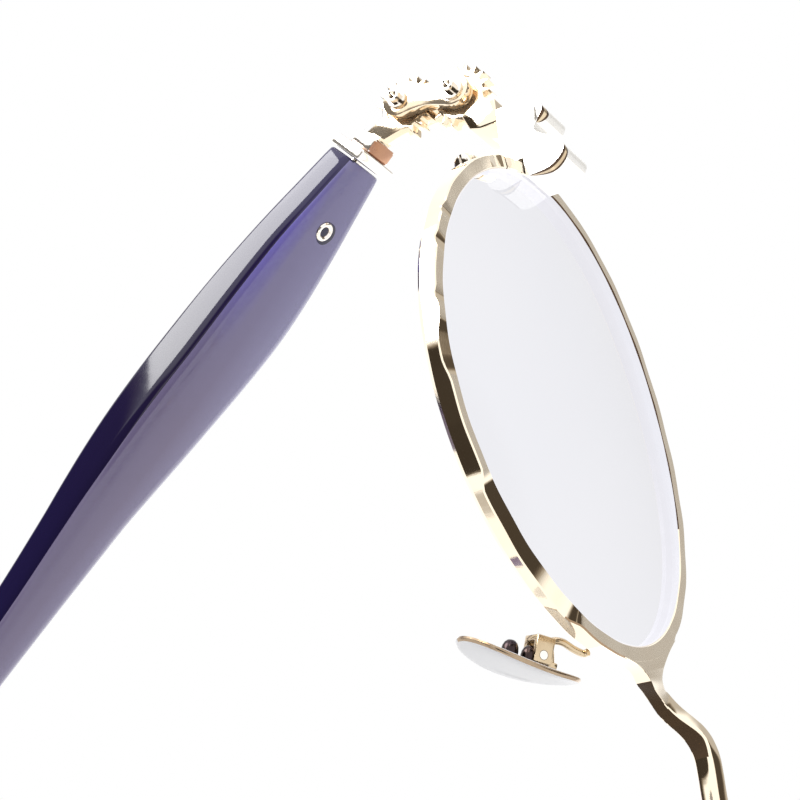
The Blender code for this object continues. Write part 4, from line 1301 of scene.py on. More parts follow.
@dataclass
class ClosingBlocks:
    """The split barrels behind each rim and the screw that closes them on the lens.

    Attributes:
        curve: The rims' shape.
        radius: Radius of the barrels.
        length: Length of each barrel.
        bore: Radius of the screw hole.
        shank: Radius of the screw.
        head: Length of the screw's head.
        slot: Width of the screwdriver slot.
        gap: Gap behind the rim.
    """

    curve: RimCurve
    radius: float = 1.0 * MM
    length: float = 2.5 * MM
    bore: float = 0.52 * MM
    shank: float = 0.42 * MM
    head: float = 0.7 * MM
    slot: float = 0.3 * MM
    gap: float = 0.02 * MM

    def frame(self) -> Matrix:
        """Frame of the block in the eye's frame, with Z along the rim at its split."""
        seat = self.curve.at(self.curve.split_angle, 0.78 * self.curve.width)
        place = Vector((seat.x, self.curve.depth + self.gap + self.radius, seat.y))
        return Matrix.Translation(place) @ Matrix.Rotation(-self.curve.split_angle, 4, "Y")

    def barrel(self, way: int) -> Mesh:
        """One barrel, with the web that holds it to the rim.

        Args:
            way: 1 for the one above the split, -1 for the one below it.

        Returns:
            The barrel's mesh in the left eye's frame.
        """
        low, high = sorted((way * self.curve.split / 2, way * (self.curve.split / 2 + self.length)))
        bore = circle(self.bore, segments=32)
        blank = plate([circle(self.radius), bore], low, high)
        web = block((1.1 * self.radius, self.radius, self.length - 0.3 * MM),
                    (0.0, -0.5 * self.radius, (low + high) / 2))
        joined = boolean(blank, boolean(web, plate([bore], low, high), "DIFFERENCE"), "UNION")
        joined = bevelled(joined, 0.1 * MM, 2, 50.0)
        joined.transform(self.frame())
        return joined

    def screw(self) -> Mesh:
        """The closing screw, with its slotted head below."""
        reach = self.curve.split / 2 + self.length
        top = -(reach + 0.05 * MM)
        rim = 0.85 * self.radius
        head = ((1.0, 0.0), (1.0, 0.6), (0.8, 0.9), (0.4, 1.0), (0.0, 1.0))
        profile = [(0.0, reach), (self.shank, reach), (self.shank, top)]
        profile += [(share * rim, top - level * self.head) for share, level in head]
        cut = block((3 * rim, self.slot, self.head), (0.0, 0.0, top - 1.1 * self.head))
        screw = boolean(turned(profile), cut, "DIFFERENCE")
        screw.transform(self.frame())
        return screw

    def build(self, bench: Bench) -> None:
        """Add the barrels and screws.

        Args:
            bench: The bench.
        """
        eyes = bench.layout.eye_frame
        for label, way in (("upper", 1), ("lower", -1)):
            name = f"closing_barrel_{label}"
            bench.add_pair(name, self.barrel(way), "front", Slot.GOLD, eyes, "gold", sharp=40.0)
        bench.add_pair("closing_screw", self.screw(), "front", Slot.STEEL, eyes, "steel", sharp=35.0)


@dataclass
class Hinges:
    """The geared hinges: a fixed gear, a temple gear, and two links on hollow pins that keep them meshed.

    Attributes:
        pitch: Pitch radius of both gears.
        teeth: Teeth on a full turn.
        addendum: Height of the teeth beyond the pitch radius.
        dedendum: Depth of the gaps within it.
        thickness: Thickness of the gears.
        backlash: Play between the teeth.
        dish: Radius and depth of the dish in each gear face.
        neck_angle: Direction of the fixed gear's neck.
        neck_reach: Length of that neck.
        neck_half: Half its width.
        link_gap: Height of the links' inner faces.
        link_top: Height of their outer faces.
        link_end: Radius of their ends.
        link_waist: Half the width of their waists.
        pin: Radius of the pins.
        tip: How far down the pins' ends reach.
        hollow: Radius and depth of the pins' hollow ends.
        collars: Radii of the frame pin's and temple pin's collars.
        collar_height: Height of the collars.
        nut: Radius and height of the nuts.
        lean: Lean of the open link, which the teeth of both gears are set for.
        sectors: Half the angles that the fixed gear's and the temple gear's necks take up.
        neck_root: Half the angle between the corners where the temple gear's neck starts.
        soft: Rounding of the pins' edges.
    """

    pitch: float = 3.06 * MM
    teeth: int = 18
    addendum: float = 0.28 * MM
    dedendum: float = 0.46 * MM
    thickness: float = 1.6 * MM
    backlash: float = 0.16 * MM
    dish: tuple[float, float] = (2.15 * MM, 0.25 * MM)
    neck_angle: float = math.radians(211.5)
    neck_reach: float = 3.45 * MM
    neck_half: float = 1.15 * MM
    link_gap: float = 1.0 * MM
    link_top: float = 2.2 * MM
    link_end: float = 1.7 * MM
    link_waist: float = 1.15 * MM
    pin: float = 0.68 * MM
    tip: float = 3.45 * MM
    hollow: tuple[float, float] = (0.34 * MM, 0.9 * MM)
    collars: tuple[float, float] = (1.2 * MM, 0.98 * MM)
    collar_height: float = 0.45 * MM
    nut: tuple[float, float] = (1.3 * MM, 0.5 * MM)
    lean: float = math.radians(31.3)
    sectors: tuple[float, float] = (math.radians(34), math.radians(42))
    neck_root: float = math.radians(32)
    soft: float = 0.14 * MM

    def tooth(self, centre: float) -> Plan:
        """Outline of one tooth with a rounded tip.

        Args:
            centre: The tooth's angle.

        Returns:
            Points from one root to the other.
        """
        half = TAU / self.teeth / 4 - self.backlash / (2 * self.pitch)
        tip, root = self.pitch + self.addendum, self.pitch - self.dedendum
        corners = ((root, -1.75), (self.pitch, -0.92), (tip - 0.05 * MM, -0.3), (tip, -0.1), (tip, 0.1),
                   (tip - 0.05 * MM, 0.3), (self.pitch, 0.92), (root, 1.75))
        return [(r * math.cos(centre + a * half), r * math.sin(centre + a * half)) for r, a in corners]

    def outline(self, phase: float, neck: Plan, neck_angle: float, sector: float) -> Plan:
        """Outline of a gear, with teeth all round but for the neck's sector.

        Args:
            phase: Angle of one tooth.
            neck: The neck's outline.
            neck_angle: Direction of the neck.
            sector: Half the angle that the neck takes up.

        Returns:
            The outline.
        """
        pitch = TAU / self.teeth
        first = math.ceil((neck_angle + sector - phase) / pitch)
        last = math.floor((neck_angle - sector + TAU - phase) / pitch)
        points = []
        for index in range(first, last + 1):
            points += self.tooth(phase + index * pitch)
        return points + neck

    def gear(self, outline: Plan) -> Mesh:
        """A gear plate with broken edges, its pin hole and a dish in each face.

        Args:
            outline: The gear's outline.

        Returns:
            The gear's mesh about its pin.
        """
        half = self.thickness / 2
        blank = bevelled(plate([outline], -half, half), 0.07 * MM, 2, 60.0)
        blank = boolean(blank, plate([circle(self.pin + 0.05 * MM)], -2 * half, 2 * half), "DIFFERENCE")
        radius, depth = self.dish
        for side in (-1, 1):
            low, high = sorted((side * (half - depth), side * (half + depth)))
            blank = boolean(blank, plate([circle(radius)], low, high), "DIFFERENCE")
        return blank

    def frame_gear(self) -> Mesh:
        """The fixed gear about its pin, with its neck."""
        along = Vector((math.cos(self.neck_angle), math.sin(self.neck_angle)))
        across = Vector((-along.y, along.x)) * self.neck_half
        root, face, wide = along * (self.pitch - self.dedendum), along * self.neck_reach, 1.25 * across
        neck = [tuple(place) for place in (root - wide, face - across, face + across, root + wide)]
        return self.gear(self.outline(math.pi / 2 - self.lean, neck, self.neck_angle, self.sectors[0]))

    def temple_gear(self, stem: "TempleMetal") -> Mesh:
        """The temple's gear, with the neck that meets the stem block.

        Args:
            stem: The stem block's sizes.

        Returns:
            The gear's mesh about its pin.
        """
        reach = stem.start - 0.03 * MM
        inner, outer = stem.offset - 0.5 * stem.width, stem.offset + 0.28 * stem.width
        root = self.pitch - self.dedendum
        side, foot = root * math.sin(self.neck_root), root * math.cos(self.neck_root)
        neck = [(side, foot), (outer, reach), (inner, reach), (-side, foot)]
        phase = math.pi / 2 - self.lean + math.pi - TAU / self.teeth / 2
        return self.gear(self.outline(phase, neck, math.pi / 2, self.sectors[1]))

    def link(self, low: float, high: float) -> Mesh:
        """A waisted link plate from the frame pin along +Y to the temple pin.

        Args:
            low: Height of its underside.
            high: Height of its top.

        Returns:
            The link's mesh about the frame pin.
        """
        length = 2 * self.pitch
        end = arc(self.link_end, -205)
        side = smooth_line([(*end[-1], 0.0), (self.link_waist, length / 2, 0.0),
                            (-end[0][0], length - end[0][1], 0.0)], 4)
        points = end + [(p.x, p.y) for p in side[1:-1]]
        outline = points + [(-x, length - y) for x, y in points]
        solid = bevelled(plate([outline], low, high), 0.09 * MM, 2, 60.0)
        for place in ((0.0, 0.0), (0.0, length)):
            hole = plate([circle(self.pin + 0.06 * MM, place)], low - MM, high + MM)
            solid = boolean(solid, hole, "DIFFERENCE")
        return solid

    def pin_mesh(self, collar: float) -> Mesh:
        """A pin with a rounded collar below and a hollow, dished end.

        Args:
            collar: Radius of the collar.

        Returns:
            The pin's mesh.
        """
        top = self.link_top + self.nut[1] + 0.15 * MM
        low = -(self.link_top + 0.05 * MM)
        bottom = low - self.collar_height
        hole, depth = self.hollow
        soft, pin, tip = self.soft, self.pin, -self.tip
        return turned([(0.0, top), (pin - soft, top), (pin, top - soft), (pin, low), (collar - soft, low),
                       (collar, low - soft), (collar, bottom + soft), (collar - soft, bottom), (pin, bottom),
                       (pin, tip + soft), (pin - soft, tip), (hole + soft, tip), (hole, tip + soft),
                       (hole, tip + depth), (0.0, tip + depth)])

    def nut_mesh(self) -> Mesh:
        """A round nut above the upper link."""
        radius, height = self.nut
        low = self.link_top + 0.04 * MM
        ring = plate([circle(radius), circle(self.pin + 0.02 * MM)], low, low + height)
        return bevelled(ring, 0.1 * MM, 2, 50.0)

    def build(self, bench: Bench, stem: "TempleMetal") -> None:
        """Add both hinges.

        Args:
            bench: The bench.
            stem: The stem block's sizes.
        """
        layout = bench.layout
        gears, temples = layout.gear_frame, layout.temple_frame
        lower, upper = (self.link(*sorted((way * self.link_gap, way * self.link_top))) for way in (-1, 1))
        for name, mesh, body, frame_of in (
                ("frame_gear", self.frame_gear(), "front", gears),
                ("temple_gear", self.temple_gear(stem), "temple_{}", temples),
                ("link_lower", lower, "link_{}", layout.link_frame),
                ("link_upper", upper, "link_{}", layout.link_frame)):
            bench.add_pair(name, mesh, body, Slot.GOLD, frame_of, "hinge", sharp=35.0)
        for label, collar, frame_of in zip(("frame", "temple"), self.collars, (gears, temples)):
            pin, nut = self.pin_mesh(collar), self.nut_mesh()
            bench.add_pair(f"{label}_pin", pin, "link_{}", Slot.STEEL, frame_of, "steel", sharp=40.0)
            bench.add_pair(f"{label}_pin_nut", nut, "link_{}", Slot.STEEL, frame_of, "steel", sharp=40.0)


@dataclass
class TempleMetal:
    """The metal between each temple gear and its acetate: a stem block and a ferrule.

    Attributes:
        offset: How far outward of the pin the temple's middle lies.
        start: Where the block starts behind the pin.
        length: Length of the block.
        width: Width of the block.
        height: Height of the block.
        plate_start: Where the ferrule starts.
        plate_size: Width, length and height of the ferrule.
        edge: Width of the block's bevels.
        plate_edge: Width of the ferrule's bevels.
    """

    offset: float = 1.15 * MM
    start: float = 4.3 * MM
    length: float = 1.72 * MM
    width: float = 2.75 * MM
    height: float = 3.8 * MM
    plate_start: float = 6.0 * MM
    plate_size: Place = (4.3 * MM, 1.2 * MM, 6.0 * MM)
    edge: float = 0.3 * MM
    plate_edge: float = 0.24 * MM

    def build(self, bench: Bench) -> None:
        """Add the blocks and ferrules.

        Args:
            bench: The bench.
        """
        temples = bench.layout.temple_frame
        stem = block((self.width, self.length, self.height),
                     (self.offset - 0.1 * self.width, self.start + self.length / 2, 0.0))
        stem = bevelled(stem, self.edge, 2, 30.0)
        # Painted highlight and painted reflection: the block is near white, and its inner face takes a dark
        # brown reflection.
        bench.painted(stem, lambda face: face.normal.x < -0.9 and face.center.x < self.offset,
                      "bright", "rose")
        bench.add_pair("stem_block", stem, "temple_{}", Slot.GOLD, temples, sharp=25.0)
        ferrule = block(self.plate_size, (self.offset, self.plate_start + self.plate_size[1] / 2, 0.0))
        ferrule = bevelled(ferrule, self.plate_edge, 3, 30.0)
        # The same for the ferrule: near white, with a dark brown painted reflection on its front face.
        bench.painted(ferrule, lambda face: face.normal.y < -0.95, "bright", "rose")
        bench.add_pair("ferrule", ferrule, "temple_{}", Slot.GOLD, temples, sharp=40.0)


@dataclass
class AcetateTemples:
    """The acetate temples: deep blue sheets with a violet lamina inside, a core wire and a rivet.

    Attributes:
        offset: How far outward of the pin their middle lies.
        start: Where the acetate starts behind the pin.
        straight: Length of the straight run.
        shape: Share of the straight run, height, thickness and sag, in millimetres.
        corner: Radius of the outer long edges.
        inner_corner: Radius of the inner long edges.
        bend_radius: Radius of the bend behind the ear.
        bend_angle: Angle of that bend.
        tip_height: Height of the tip.
        tip_thickness: Thickness of the tip.
        tip_run: Length of the straight run after the bend.
        core: Radius, length and drop of the core wire.
        rivet: Radius, depth and rise of the rivet.
        proud: How far the rivet's rim stands out.
        moon: How far back and up the painted shadow, a dark moon beside the rivet, is shifted.
        rivet_station: The rivet's place along the acetate.
        lamina: How far inward of the middle the violet lamina starts.
    """

    offset: float = 1.15 * MM
    start: float = 7.45 * MM
    straight: float = 92.0 * MM
    shape: tuple[tuple[float, float, float, float], ...] = (
        (0.000, 5.6, 3.9, 0.00), (0.050, 7.2, 4.1, 0.00), (0.100, 8.8, 4.3, 0.00), (0.150, 9.9, 4.6, 0.00),
        (0.205, 10.5, 4.9, 0.10), (0.260, 10.4, 5.1, 0.40), (0.315, 10.1, 5.1, 0.80), (0.370, 9.6, 5.0, 1.10),
        (0.420, 8.9, 4.8, 1.25), (0.470, 8.2, 4.4, 1.25), (0.520, 7.6, 4.0, 1.10), (0.620, 6.5, 3.6, 0.90),
        (0.760, 5.8, 3.4, 0.90), (1.000, 5.8, 3.3, 0.90))
    corner: float = 0.5 * MM
    inner_corner: float = 2.0 * MM
    bend_radius: float = 50.0 * MM
    bend_angle: float = math.radians(42)
    tip_height: float = 8.2 * MM
    tip_thickness: float = 3.2 * MM
    tip_run: float = 8.2 * MM
    core: Place = (0.65 * MM, 68.0 * MM, 0.5 * MM)
    rivet: Place = (1.05 * MM, 0.9 * MM, -0.45 * MM)
    proud: float = 0.22 * MM
    moon: tuple[float, float] = (0.10 * MM, 0.38 * MM)
    rivet_station: float = 7.4 * MM
    lamina: float = 0.6 * MM

    def section(self, height: float, thickness: float) -> Plan:
        """Outline (across, up) of a section, which is a rounded oblong.

        Args:
            height: Height of the section.
            thickness: Its thickness.

        Returns:
            The outline.
        """
        points = []
        for quarter in range(4):
            side = 1 if quarter in (0, 3) else -1
            level = 1 if quarter < 2 else -1
            radius = min(self.corner if side > 0 else self.inner_corner, 0.45 * height, 0.45 * thickness)
            points += [(side * (thickness / 2 - radius) + x, level * (height / 2 - radius) + y)
                       for x, y in arc(radius, 90 * quarter, 90.0, 6)]
        return points

    def ring(self, y: float, z: float, slope: float, height: float, thickness: float) -> list[Place]:
        """One section of the acetate, square to its run.

        Args:
            y: How far back its middle lies.
            z: How high its middle lies.
            slope: How steeply the run rises there.
            height: Height of the section.
            thickness: Its thickness.

        Returns:
            The section's corners.
        """
        return [(self.offset + across, y - up * math.sin(slope), z + up * math.cos(slope))
                for across, up in self.section(height, thickness)]

    def rings(self, run: float) -> list[list[Place]]:
        """Sections from the front end to the tip.

        Args:
            run: Length of the straight run after the bend.

        Returns:
            The sections.
        """
        rows = smooth_line([(s * 100, h, t) for s, h, t, _ in self.shape], 4)
        drops = smooth_line([(s * 100, d, 0.0) for s, _, _, d in self.shape], 4)
        rings = []
        for front, shrink in ((0.0, 0.34), (0.07, 0.14), (0.2, 0.0)):
            rings.append(self.ring(self.start + front * MM, 0.0, 0.0, (rows[0].y - shrink) * MM,
                                   (rows[0].z - shrink) * MM))
        for row, drop in zip(rows[1:], drops[1:]):
            y = self.start + row.x / 100 * self.straight
            rings.append(self.ring(y, -drop.y * MM, 0.0, row.y * MM, row.z * MM))
        height0, thickness0, sag = (value * MM for value in self.shape[-1][1:])
        bend = self.bend_radius * self.bend_angle
        total = bend + run
        nose = self.tip_height / 2
        stops = [bend * step / 24 for step in range(1, 25)]
        stops += [total - nose * (1 - math.sin(math.pi / 2 * step / 10)) for step in range(11)]
        for stop in stops:
            slope = min(stop, bend) / self.bend_radius
            extra = max(0.0, stop - bend)
            y = self.start + self.straight + self.bend_radius * math.sin(slope) + extra * math.cos(slope)
            z = -sag - self.bend_radius * (1 - math.cos(slope)) - extra * math.sin(slope)
            height = height0 + (self.tip_height - height0) * stop / total
            thickness = thickness0 + (self.tip_thickness - thickness0) * stop / total
            left = (total - stop) / nose
            if left < 1:
                height *= max(0.12, math.sqrt(1 - (1 - left) ** 2))
                thickness *= max(0.3, math.sqrt(1 - (1 - left) ** 4))
            rings.append(self.ring(y, z, -slope, height, thickness))
        return rings

    def fitted_run(self, feet: float) -> float:
        """Work out the run after the bend that brings the tip down to the rims' feet.

        Args:
            feet: Height of the rims' feet above the pin's middle.

        Returns:
            The run's length.
        """
        run = self.tip_run
        for _ in range(4):
            lowest = min(place[2] for ring in self.rings(run) for place in ring)
            run += (lowest - feet) / math.sin(self.bend_angle)
        return run

    def blade(self, feet: float) -> Mesh:
        """The acetate of the left temple, with the rivet's hole.

        Args:
            feet: Height of the rims' feet above the pin's middle.

        Returns:
            The acetate's mesh.
        """
        mesh = loft(self.rings(self.fitted_run(feet)))
        face, y, rise = self.rivet_place()
        hole = wire([Vector((face - 1.2 * MM, y, rise)), Vector((face + self.rivet[1], y, rise))],
                    self.rivet[0] + 0.04 * MM, 32)
        return boolean(mesh, hole, "DIFFERENCE")

    def rivet_place(self) -> Place:
        """Place of the rivet on the acetate's inner face."""
        share = self.rivet_station / self.straight
        thickness = self.shape[-1][2] * MM
        for near, far in zip(self.shape, self.shape[1:]):
            if near[0] <= share <= far[0]:
                thickness = (near[2] + (far[2] - near[2]) * (share - near[0]) / (far[0] - near[0])) * MM
                break
        return (self.offset - 0.5 * thickness, self.start + self.rivet_station, self.rivet[2])

    def on_face(self, profile: Plan, back: float = 0.0, up: float = 0.0) -> Mesh:
        """Turn a solid on the inner face, about the rivet's axis.

        Args:
            profile: (radius, height) points, with heights above the face.
            back: How far behind the rivet it stands.
            up: How far above the rivet it stands.

        Returns:
            The solid's mesh in the temple's frame.
        """
        solid = turned(profile)
        place = Matrix.Translation(Vector(self.rivet_place()) + Vector((0.0, back, up)))
        solid.transform(place @ Matrix.Rotation(-math.pi / 2, 4, "Y"))
        return solid

    def rivet_mesh(self) -> Mesh:
        """The rivet, with a raised rim round a sunk middle."""
        radius, depth, _ = self.rivet
        rim = ((0.42, 0.0), (0.52, 0.3), (0.66, 0.85), (0.78, 1.0), (0.9, 0.8), (0.98, 0.3), (1.0, -0.2))
        profile = [(0.0, 0.02 * MM), *((share * radius, level * self.proud) for share, level in rim)]
        return self.on_face([*profile, (radius, -depth), (0.0, -depth)])

    def sunk(self, face: Face) -> bool:
        """Whether a face of the rivet lies in its sunk middle, which takes painted shade."""
        _, y, z = self.rivet_place()
        return math.hypot(face.center.y - y, face.center.z - z) < 0.55 * self.rivet[0] and face.normal.x < 0

    def build(self, bench: Bench, feet: float) -> None:
        """Add the acetate, core wires and rivets, and beside each rivet a painted shadow: a dark moon of the
        deep blue acetate.

        Args:
            bench: The bench.
            feet: Height of the rims' feet above the pin's middle.
        """
        temples = bench.layout.temple_frame
        inner = self.offset - self.lamina
        blade = bench.painted(self.blade(feet), lambda face: face.normal.x < -0.57 and face.center.x < inner,
                              "deep_blue", "violet")
        bench.add_pair("temple", blade, "temple_{}", Slot.ACETATE, temples, sharp=50.0)
        radius, length, drop = self.core
        start = self.start - 0.3 * MM
        core = wire([Vector((self.offset, start + way, -drop)) for way in (0.0, length)], radius)
        bench.add_pair("core_wire", core, "temple_{}", Slot.STEEL, temples, "steel", sharp=50.0)
        # Painted shade: the rivet's sunk middle takes a dark copy of the gold.
        rivet = bench.painted(self.rivet_mesh(), self.sunk, "steel", "worn_edge")
        bench.add_pair("temple_rivet", rivet, "temple_{}", Slot.STEEL, temples, sharp=60.0)
        # Painted shadow: a thin disc of the deep blue acetate, shifted from the rivet, shows as a dark moon
        # on the violet face.
        width = self.rivet[0]
        moon = self.on_face([(0.0, 0.05 * MM), (width, 0.05 * MM), (1.16 * width, 0.02 * MM),
                             (1.22 * width, -0.25 * MM), (0.0, -0.25 * MM)], *self.moon)
        bench.add_pair("rivet_well", moon, "temple_{}", Slot.ACETATE, temples, "deep_blue", False, 60.0)


@dataclass
class NosePads:
    """The rocking nose pads, their boxes, screws and wire arms.

    Attributes:
        curve: The rims' shape, which the arms start from.
        pivot: Inward, back and down place of each pivot from the lens centre.
        tilt: How far the pads lean forward at the top.
        splay: How far they turn out behind.
        size: Width, length and thickness of the pads.
        bow: How far the pad bows towards the nose.
        standoff: How far inward of the pivot the pad lies.
        drop: How far below the pivot its middle lies.
        seat: Where the box's middle lies from the pivot.
        studs: Radius and height of the pad's domed studs, and their places along it.
        lug: Radius and thickness of the lug.
        wall: Thickness of the box's walls.
        half_height: Half the box's height.
        screw: Radius of the screw, its head's radius and its head's height.
        play: Gap between the lug and the box's walls.
        foot: Width, length and height of the foot that joins the box to its arm.
        foot_place: Where the foot's middle lies, beyond the box's front and top.
        arm: Radius of the arm's wire.
        arm_bend: Place of the arm's last bend in the pad's frame.
        arm_end: Place of its end there.
        foot_angle: Where the arm starts on the rim.
        levels: Shares of the pad's outline, from its back to its front, and where each lies through its
            thickness.
    """

    curve: RimCurve
    pivot: Place = (23.6 * MM, 5.1 * MM, 4.3 * MM)
    tilt: float = math.radians(31)
    splay: float = math.radians(20)
    size: Place = (7.0 * MM, 12.4 * MM, 0.8 * MM)
    bow: float = 0.85 * MM
    standoff: float = 1.6 * MM
    drop: float = 0.9 * MM
    seat: Place = (-0.85 * MM, 0.0, 0.75 * MM)
    studs: tuple[float, float, tuple[float, ...]] = (0.78 * MM, 1.15 * MM, (-2.05 * MM, -0.05 * MM))
    lug: tuple[float, float] = (0.95 * MM, 0.95 * MM)
    wall: float = 0.55 * MM
    half_height: float = 0.9 * MM
    screw: Place = (0.4 * MM, 0.75 * MM, 0.55 * MM)
    play: float = 0.12 * MM
    foot: Place = (0.6 * MM, 1.36 * MM, 0.96 * MM)
    foot_place: tuple[float, float] = (0.16 * MM, 0.46 * MM)
    arm: float = 0.34 * MM
    arm_bend: Place = (0.58 * MM, 0.0, 1.76 * MM)
    arm_end: Place = (-1.32 * MM, 0.0, 2.26 * MM)
    foot_angle: float = math.radians(178.5)
    levels: tuple[tuple[float, float], ...] = (
        (0.5, -1.0), (0.74, -0.95), (0.88, -0.78), (0.97, -0.45), (1.0, 0.0), (0.985, 0.4), (0.93, 0.62),
        (0.8, 0.7), (0.5, 0.66))

    def frame(self) -> Matrix:
        """Frame of the pad's pivot in the left eye's frame."""
        inward, back, down = self.pivot
        place = Matrix.Translation((-inward, back, -down))
        return place @ Matrix.Rotation(-self.splay, 4, "Z") @ Matrix.Rotation(self.tilt, 4, "X")

    def pad(self) -> Mesh:
        """The crowned oval pad with its pierced lug, in its own frame."""
        width, length, thickness = self.size
        rings = []
        for share, level in self.levels:
            ring = []
            for step in range(72):
                angle = TAU * step / 72
                taper = 1 - 0.12 * math.sin(angle)
                height = share * length / 2 * math.sin(angle) - self.drop
                bow = self.bow * (1 - ((height - 0.5 * MM) / (6.5 * MM)) ** 2)
                ring.append((-self.standoff - bow + 0.6 * level * thickness,
                             share * width / 2 * math.cos(angle) * taper, height))
            rings.append(ring)
        radius, thick = 0.78 * self.lug[0], self.lug[1]
        base = -self.standoff - self.bow - self.seat[0]
        outline = [*arc(radius, -115), (base, 0.6 * radius), (base, -0.6 * radius)]
        lug = plate([outline, circle(self.screw[0] + 0.18 * MM, segments=24)], -thick / 2, thick / 2)
        lug.transform(Matrix.Translation(self.seat) @ Matrix.Rotation(math.pi / 2, 4, "X"))
        return boolean(loft(rings), lug, "UNION")

    def stud_mesh(self) -> Mesh:
        """The two domed studs on the pad's back, in the left eye's frame."""
        radius, height, places = self.studs
        low = -self.standoff - self.bow + 0.3 * MM
        top = height - self.standoff + 0.35 * MM
        bm = bmesh.new()
        dome = ((0.0, 0.0), (0.45, 0.08), (0.75, 0.3), (0.93, 0.62), (1.0, 1.0))
        profile = [*((share * radius, top - fall * MM) for share, fall in dome), (radius, low), (0.0, low)]
        for place in places:
            stud = turned(profile, 32)
            seat = self.frame() @ Matrix.Translation((0, 0, place))
            stud.transform(seat @ Matrix.Rotation(math.pi / 2, 4, "Y"))
            bm.from_mesh(stud)
        return finished(bm)

    def box(self) -> Mesh:
        """The fork round the pad's lug, with the foot of its arm, in the left eye's frame."""
        inner = self.lug[1] / 2 + self.play
        outer = inner + self.wall
        base = self.lug[0] + 0.22 * MM
        rear, front = base + self.wall, -0.75 * self.lug[0]
        outline = [(front, -outer), (rear, -outer), (rear, outer), (front, outer),
                   (front, inner), (base, inner), (base, -inner), (front, -inner)]
        fork = bevelled(plate([outline], -self.half_height, self.half_height), 0.1 * MM, 2, 60.0)
        hole = wire([Vector((0, -2 * outer, 0)), Vector((0, 2 * outer, 0))], self.screw[0] + 0.04 * MM, 24)
        fork = boolean(fork, hole, "DIFFERENCE")
        along, above = self.foot_place
        foot = block(self.foot, (front + along, 0.0, self.half_height + above))
        fork = boolean(fork, bevelled(foot, 0.15 * MM, 2), "UNION")
        fork.transform(self.frame() @ Matrix.Translation(self.seat))
        return fork

    def screw_mesh(self) -> Mesh:
        """The pad's domed screw, in the left eye's frame."""
        shank, radius, height = self.screw
        outer = self.lug[1] / 2 + self.play + self.wall
        seat = outer + 0.04 * MM
        dome = ((0.0, 1.0), (0.35, 0.96), (0.65, 0.8), (0.88, 0.5), (1.0, 0.15), (1.0, 0.0))
        screw = turned([*((share * radius, seat + level * height) for share, level in dome), (shank, seat),
                        (shank, -outer), (0.0, -outer)], 32)
        slot = block((3 * radius, 0.22 * MM, 0.4 * MM), (0.0, 0.0, seat + height))
        screw = boolean(screw, slot, "DIFFERENCE")
        screw.transform(self.frame() @ Matrix.Translation(self.seat) @ Matrix.Rotation(-math.pi / 2, 4, "X"))
        return screw

    def arm_mesh(self) -> Mesh:
        """The bent wire from the rim to the box, in the left eye's frame."""
        foot = self.curve.at(self.foot_angle, 0.83 * self.curve.width)
        start = Vector((foot.x, self.curve.depth + 0.03 * MM, foot.y))
        bend, end = (self.frame() @ Vector(place) for place in (self.arm_bend, self.arm_end))
        points = [start, start + Vector((0, 0.5, 0)) * MM, start + Vector((0.12, 0.78, -1.3)) * MM,
                  bend + Vector((0.0, -0.94, 0.7)) * MM, bend + Vector((0.15, -0.38, 0.15)) * MM, bend,
                  bend.lerp(end, 0.4), end]
        return wire(smooth_line([tuple(point) for point in points], 10), self.arm)

    def build(self, bench: Bench) -> None:
        """Add both pads, whose edges take painted shade, with their fittings.

        Args:
            bench: The bench.
        """
        # Painted shade: the pad's edges take a dark copy of the gold.
        pad = bench.painted(self.pad(), lambda face: abs(face.normal.x) < 0.65 and face.normal.y < 0.2, "pad",
                            "worn_edge")
        pad.transform(self.frame())
        metal, eyes = Slot.PAD_METAL, bench.layout.eye_frame
        # Painted shade: the arm and the box take a darker copy of the gold.
        bench.add_pair("pad_arm", self.arm_mesh(), "front", Slot.GOLD, eyes, "worn", sharp=50.0)
        bench.add_pair("pad_box", self.box(), "front", Slot.GOLD, eyes, "worn", sharp=40.0)
        bench.add_pair("pad_screw", self.screw_mesh(), "front", Slot.STEEL, eyes, "steel", sharp=40.0)
        bench.add_pair("nose_pad", pad, "nose_pad_{}", metal, eyes, sharp=50.0)
        # Painted shade: the studs take a near-black metal.
        bench.add_pair("pad_studs", self.stud_mesh(), "nose_pad_{}", metal, eyes, "dark", False, 50.0)


@dataclass(frozen=True)
class Card:
    """A soft light, facing the glasses.

    Attributes:
        name: The lamp's name.
        towards: Direction from the glasses to it.
        distance: How far away it stands.
        size: Its width and height.
        power: Its power in watts.
    """

    name: str
    towards: Place
    distance: float
    size: tuple[float, float]
    power: float


@dataclass(frozen=True)
class Flag:
    """A soft-edged part of the room that mirrors see darker or lighter.

    Attributes:
        towards: Direction from the glasses to it.
        reach: Angle from its middle to its edge, in degrees.
        blur: Half the width of its soft edge, in degrees.
        level: How bright it is.
    """

    towards: Place
    reach: float
    blur: float
    level: float


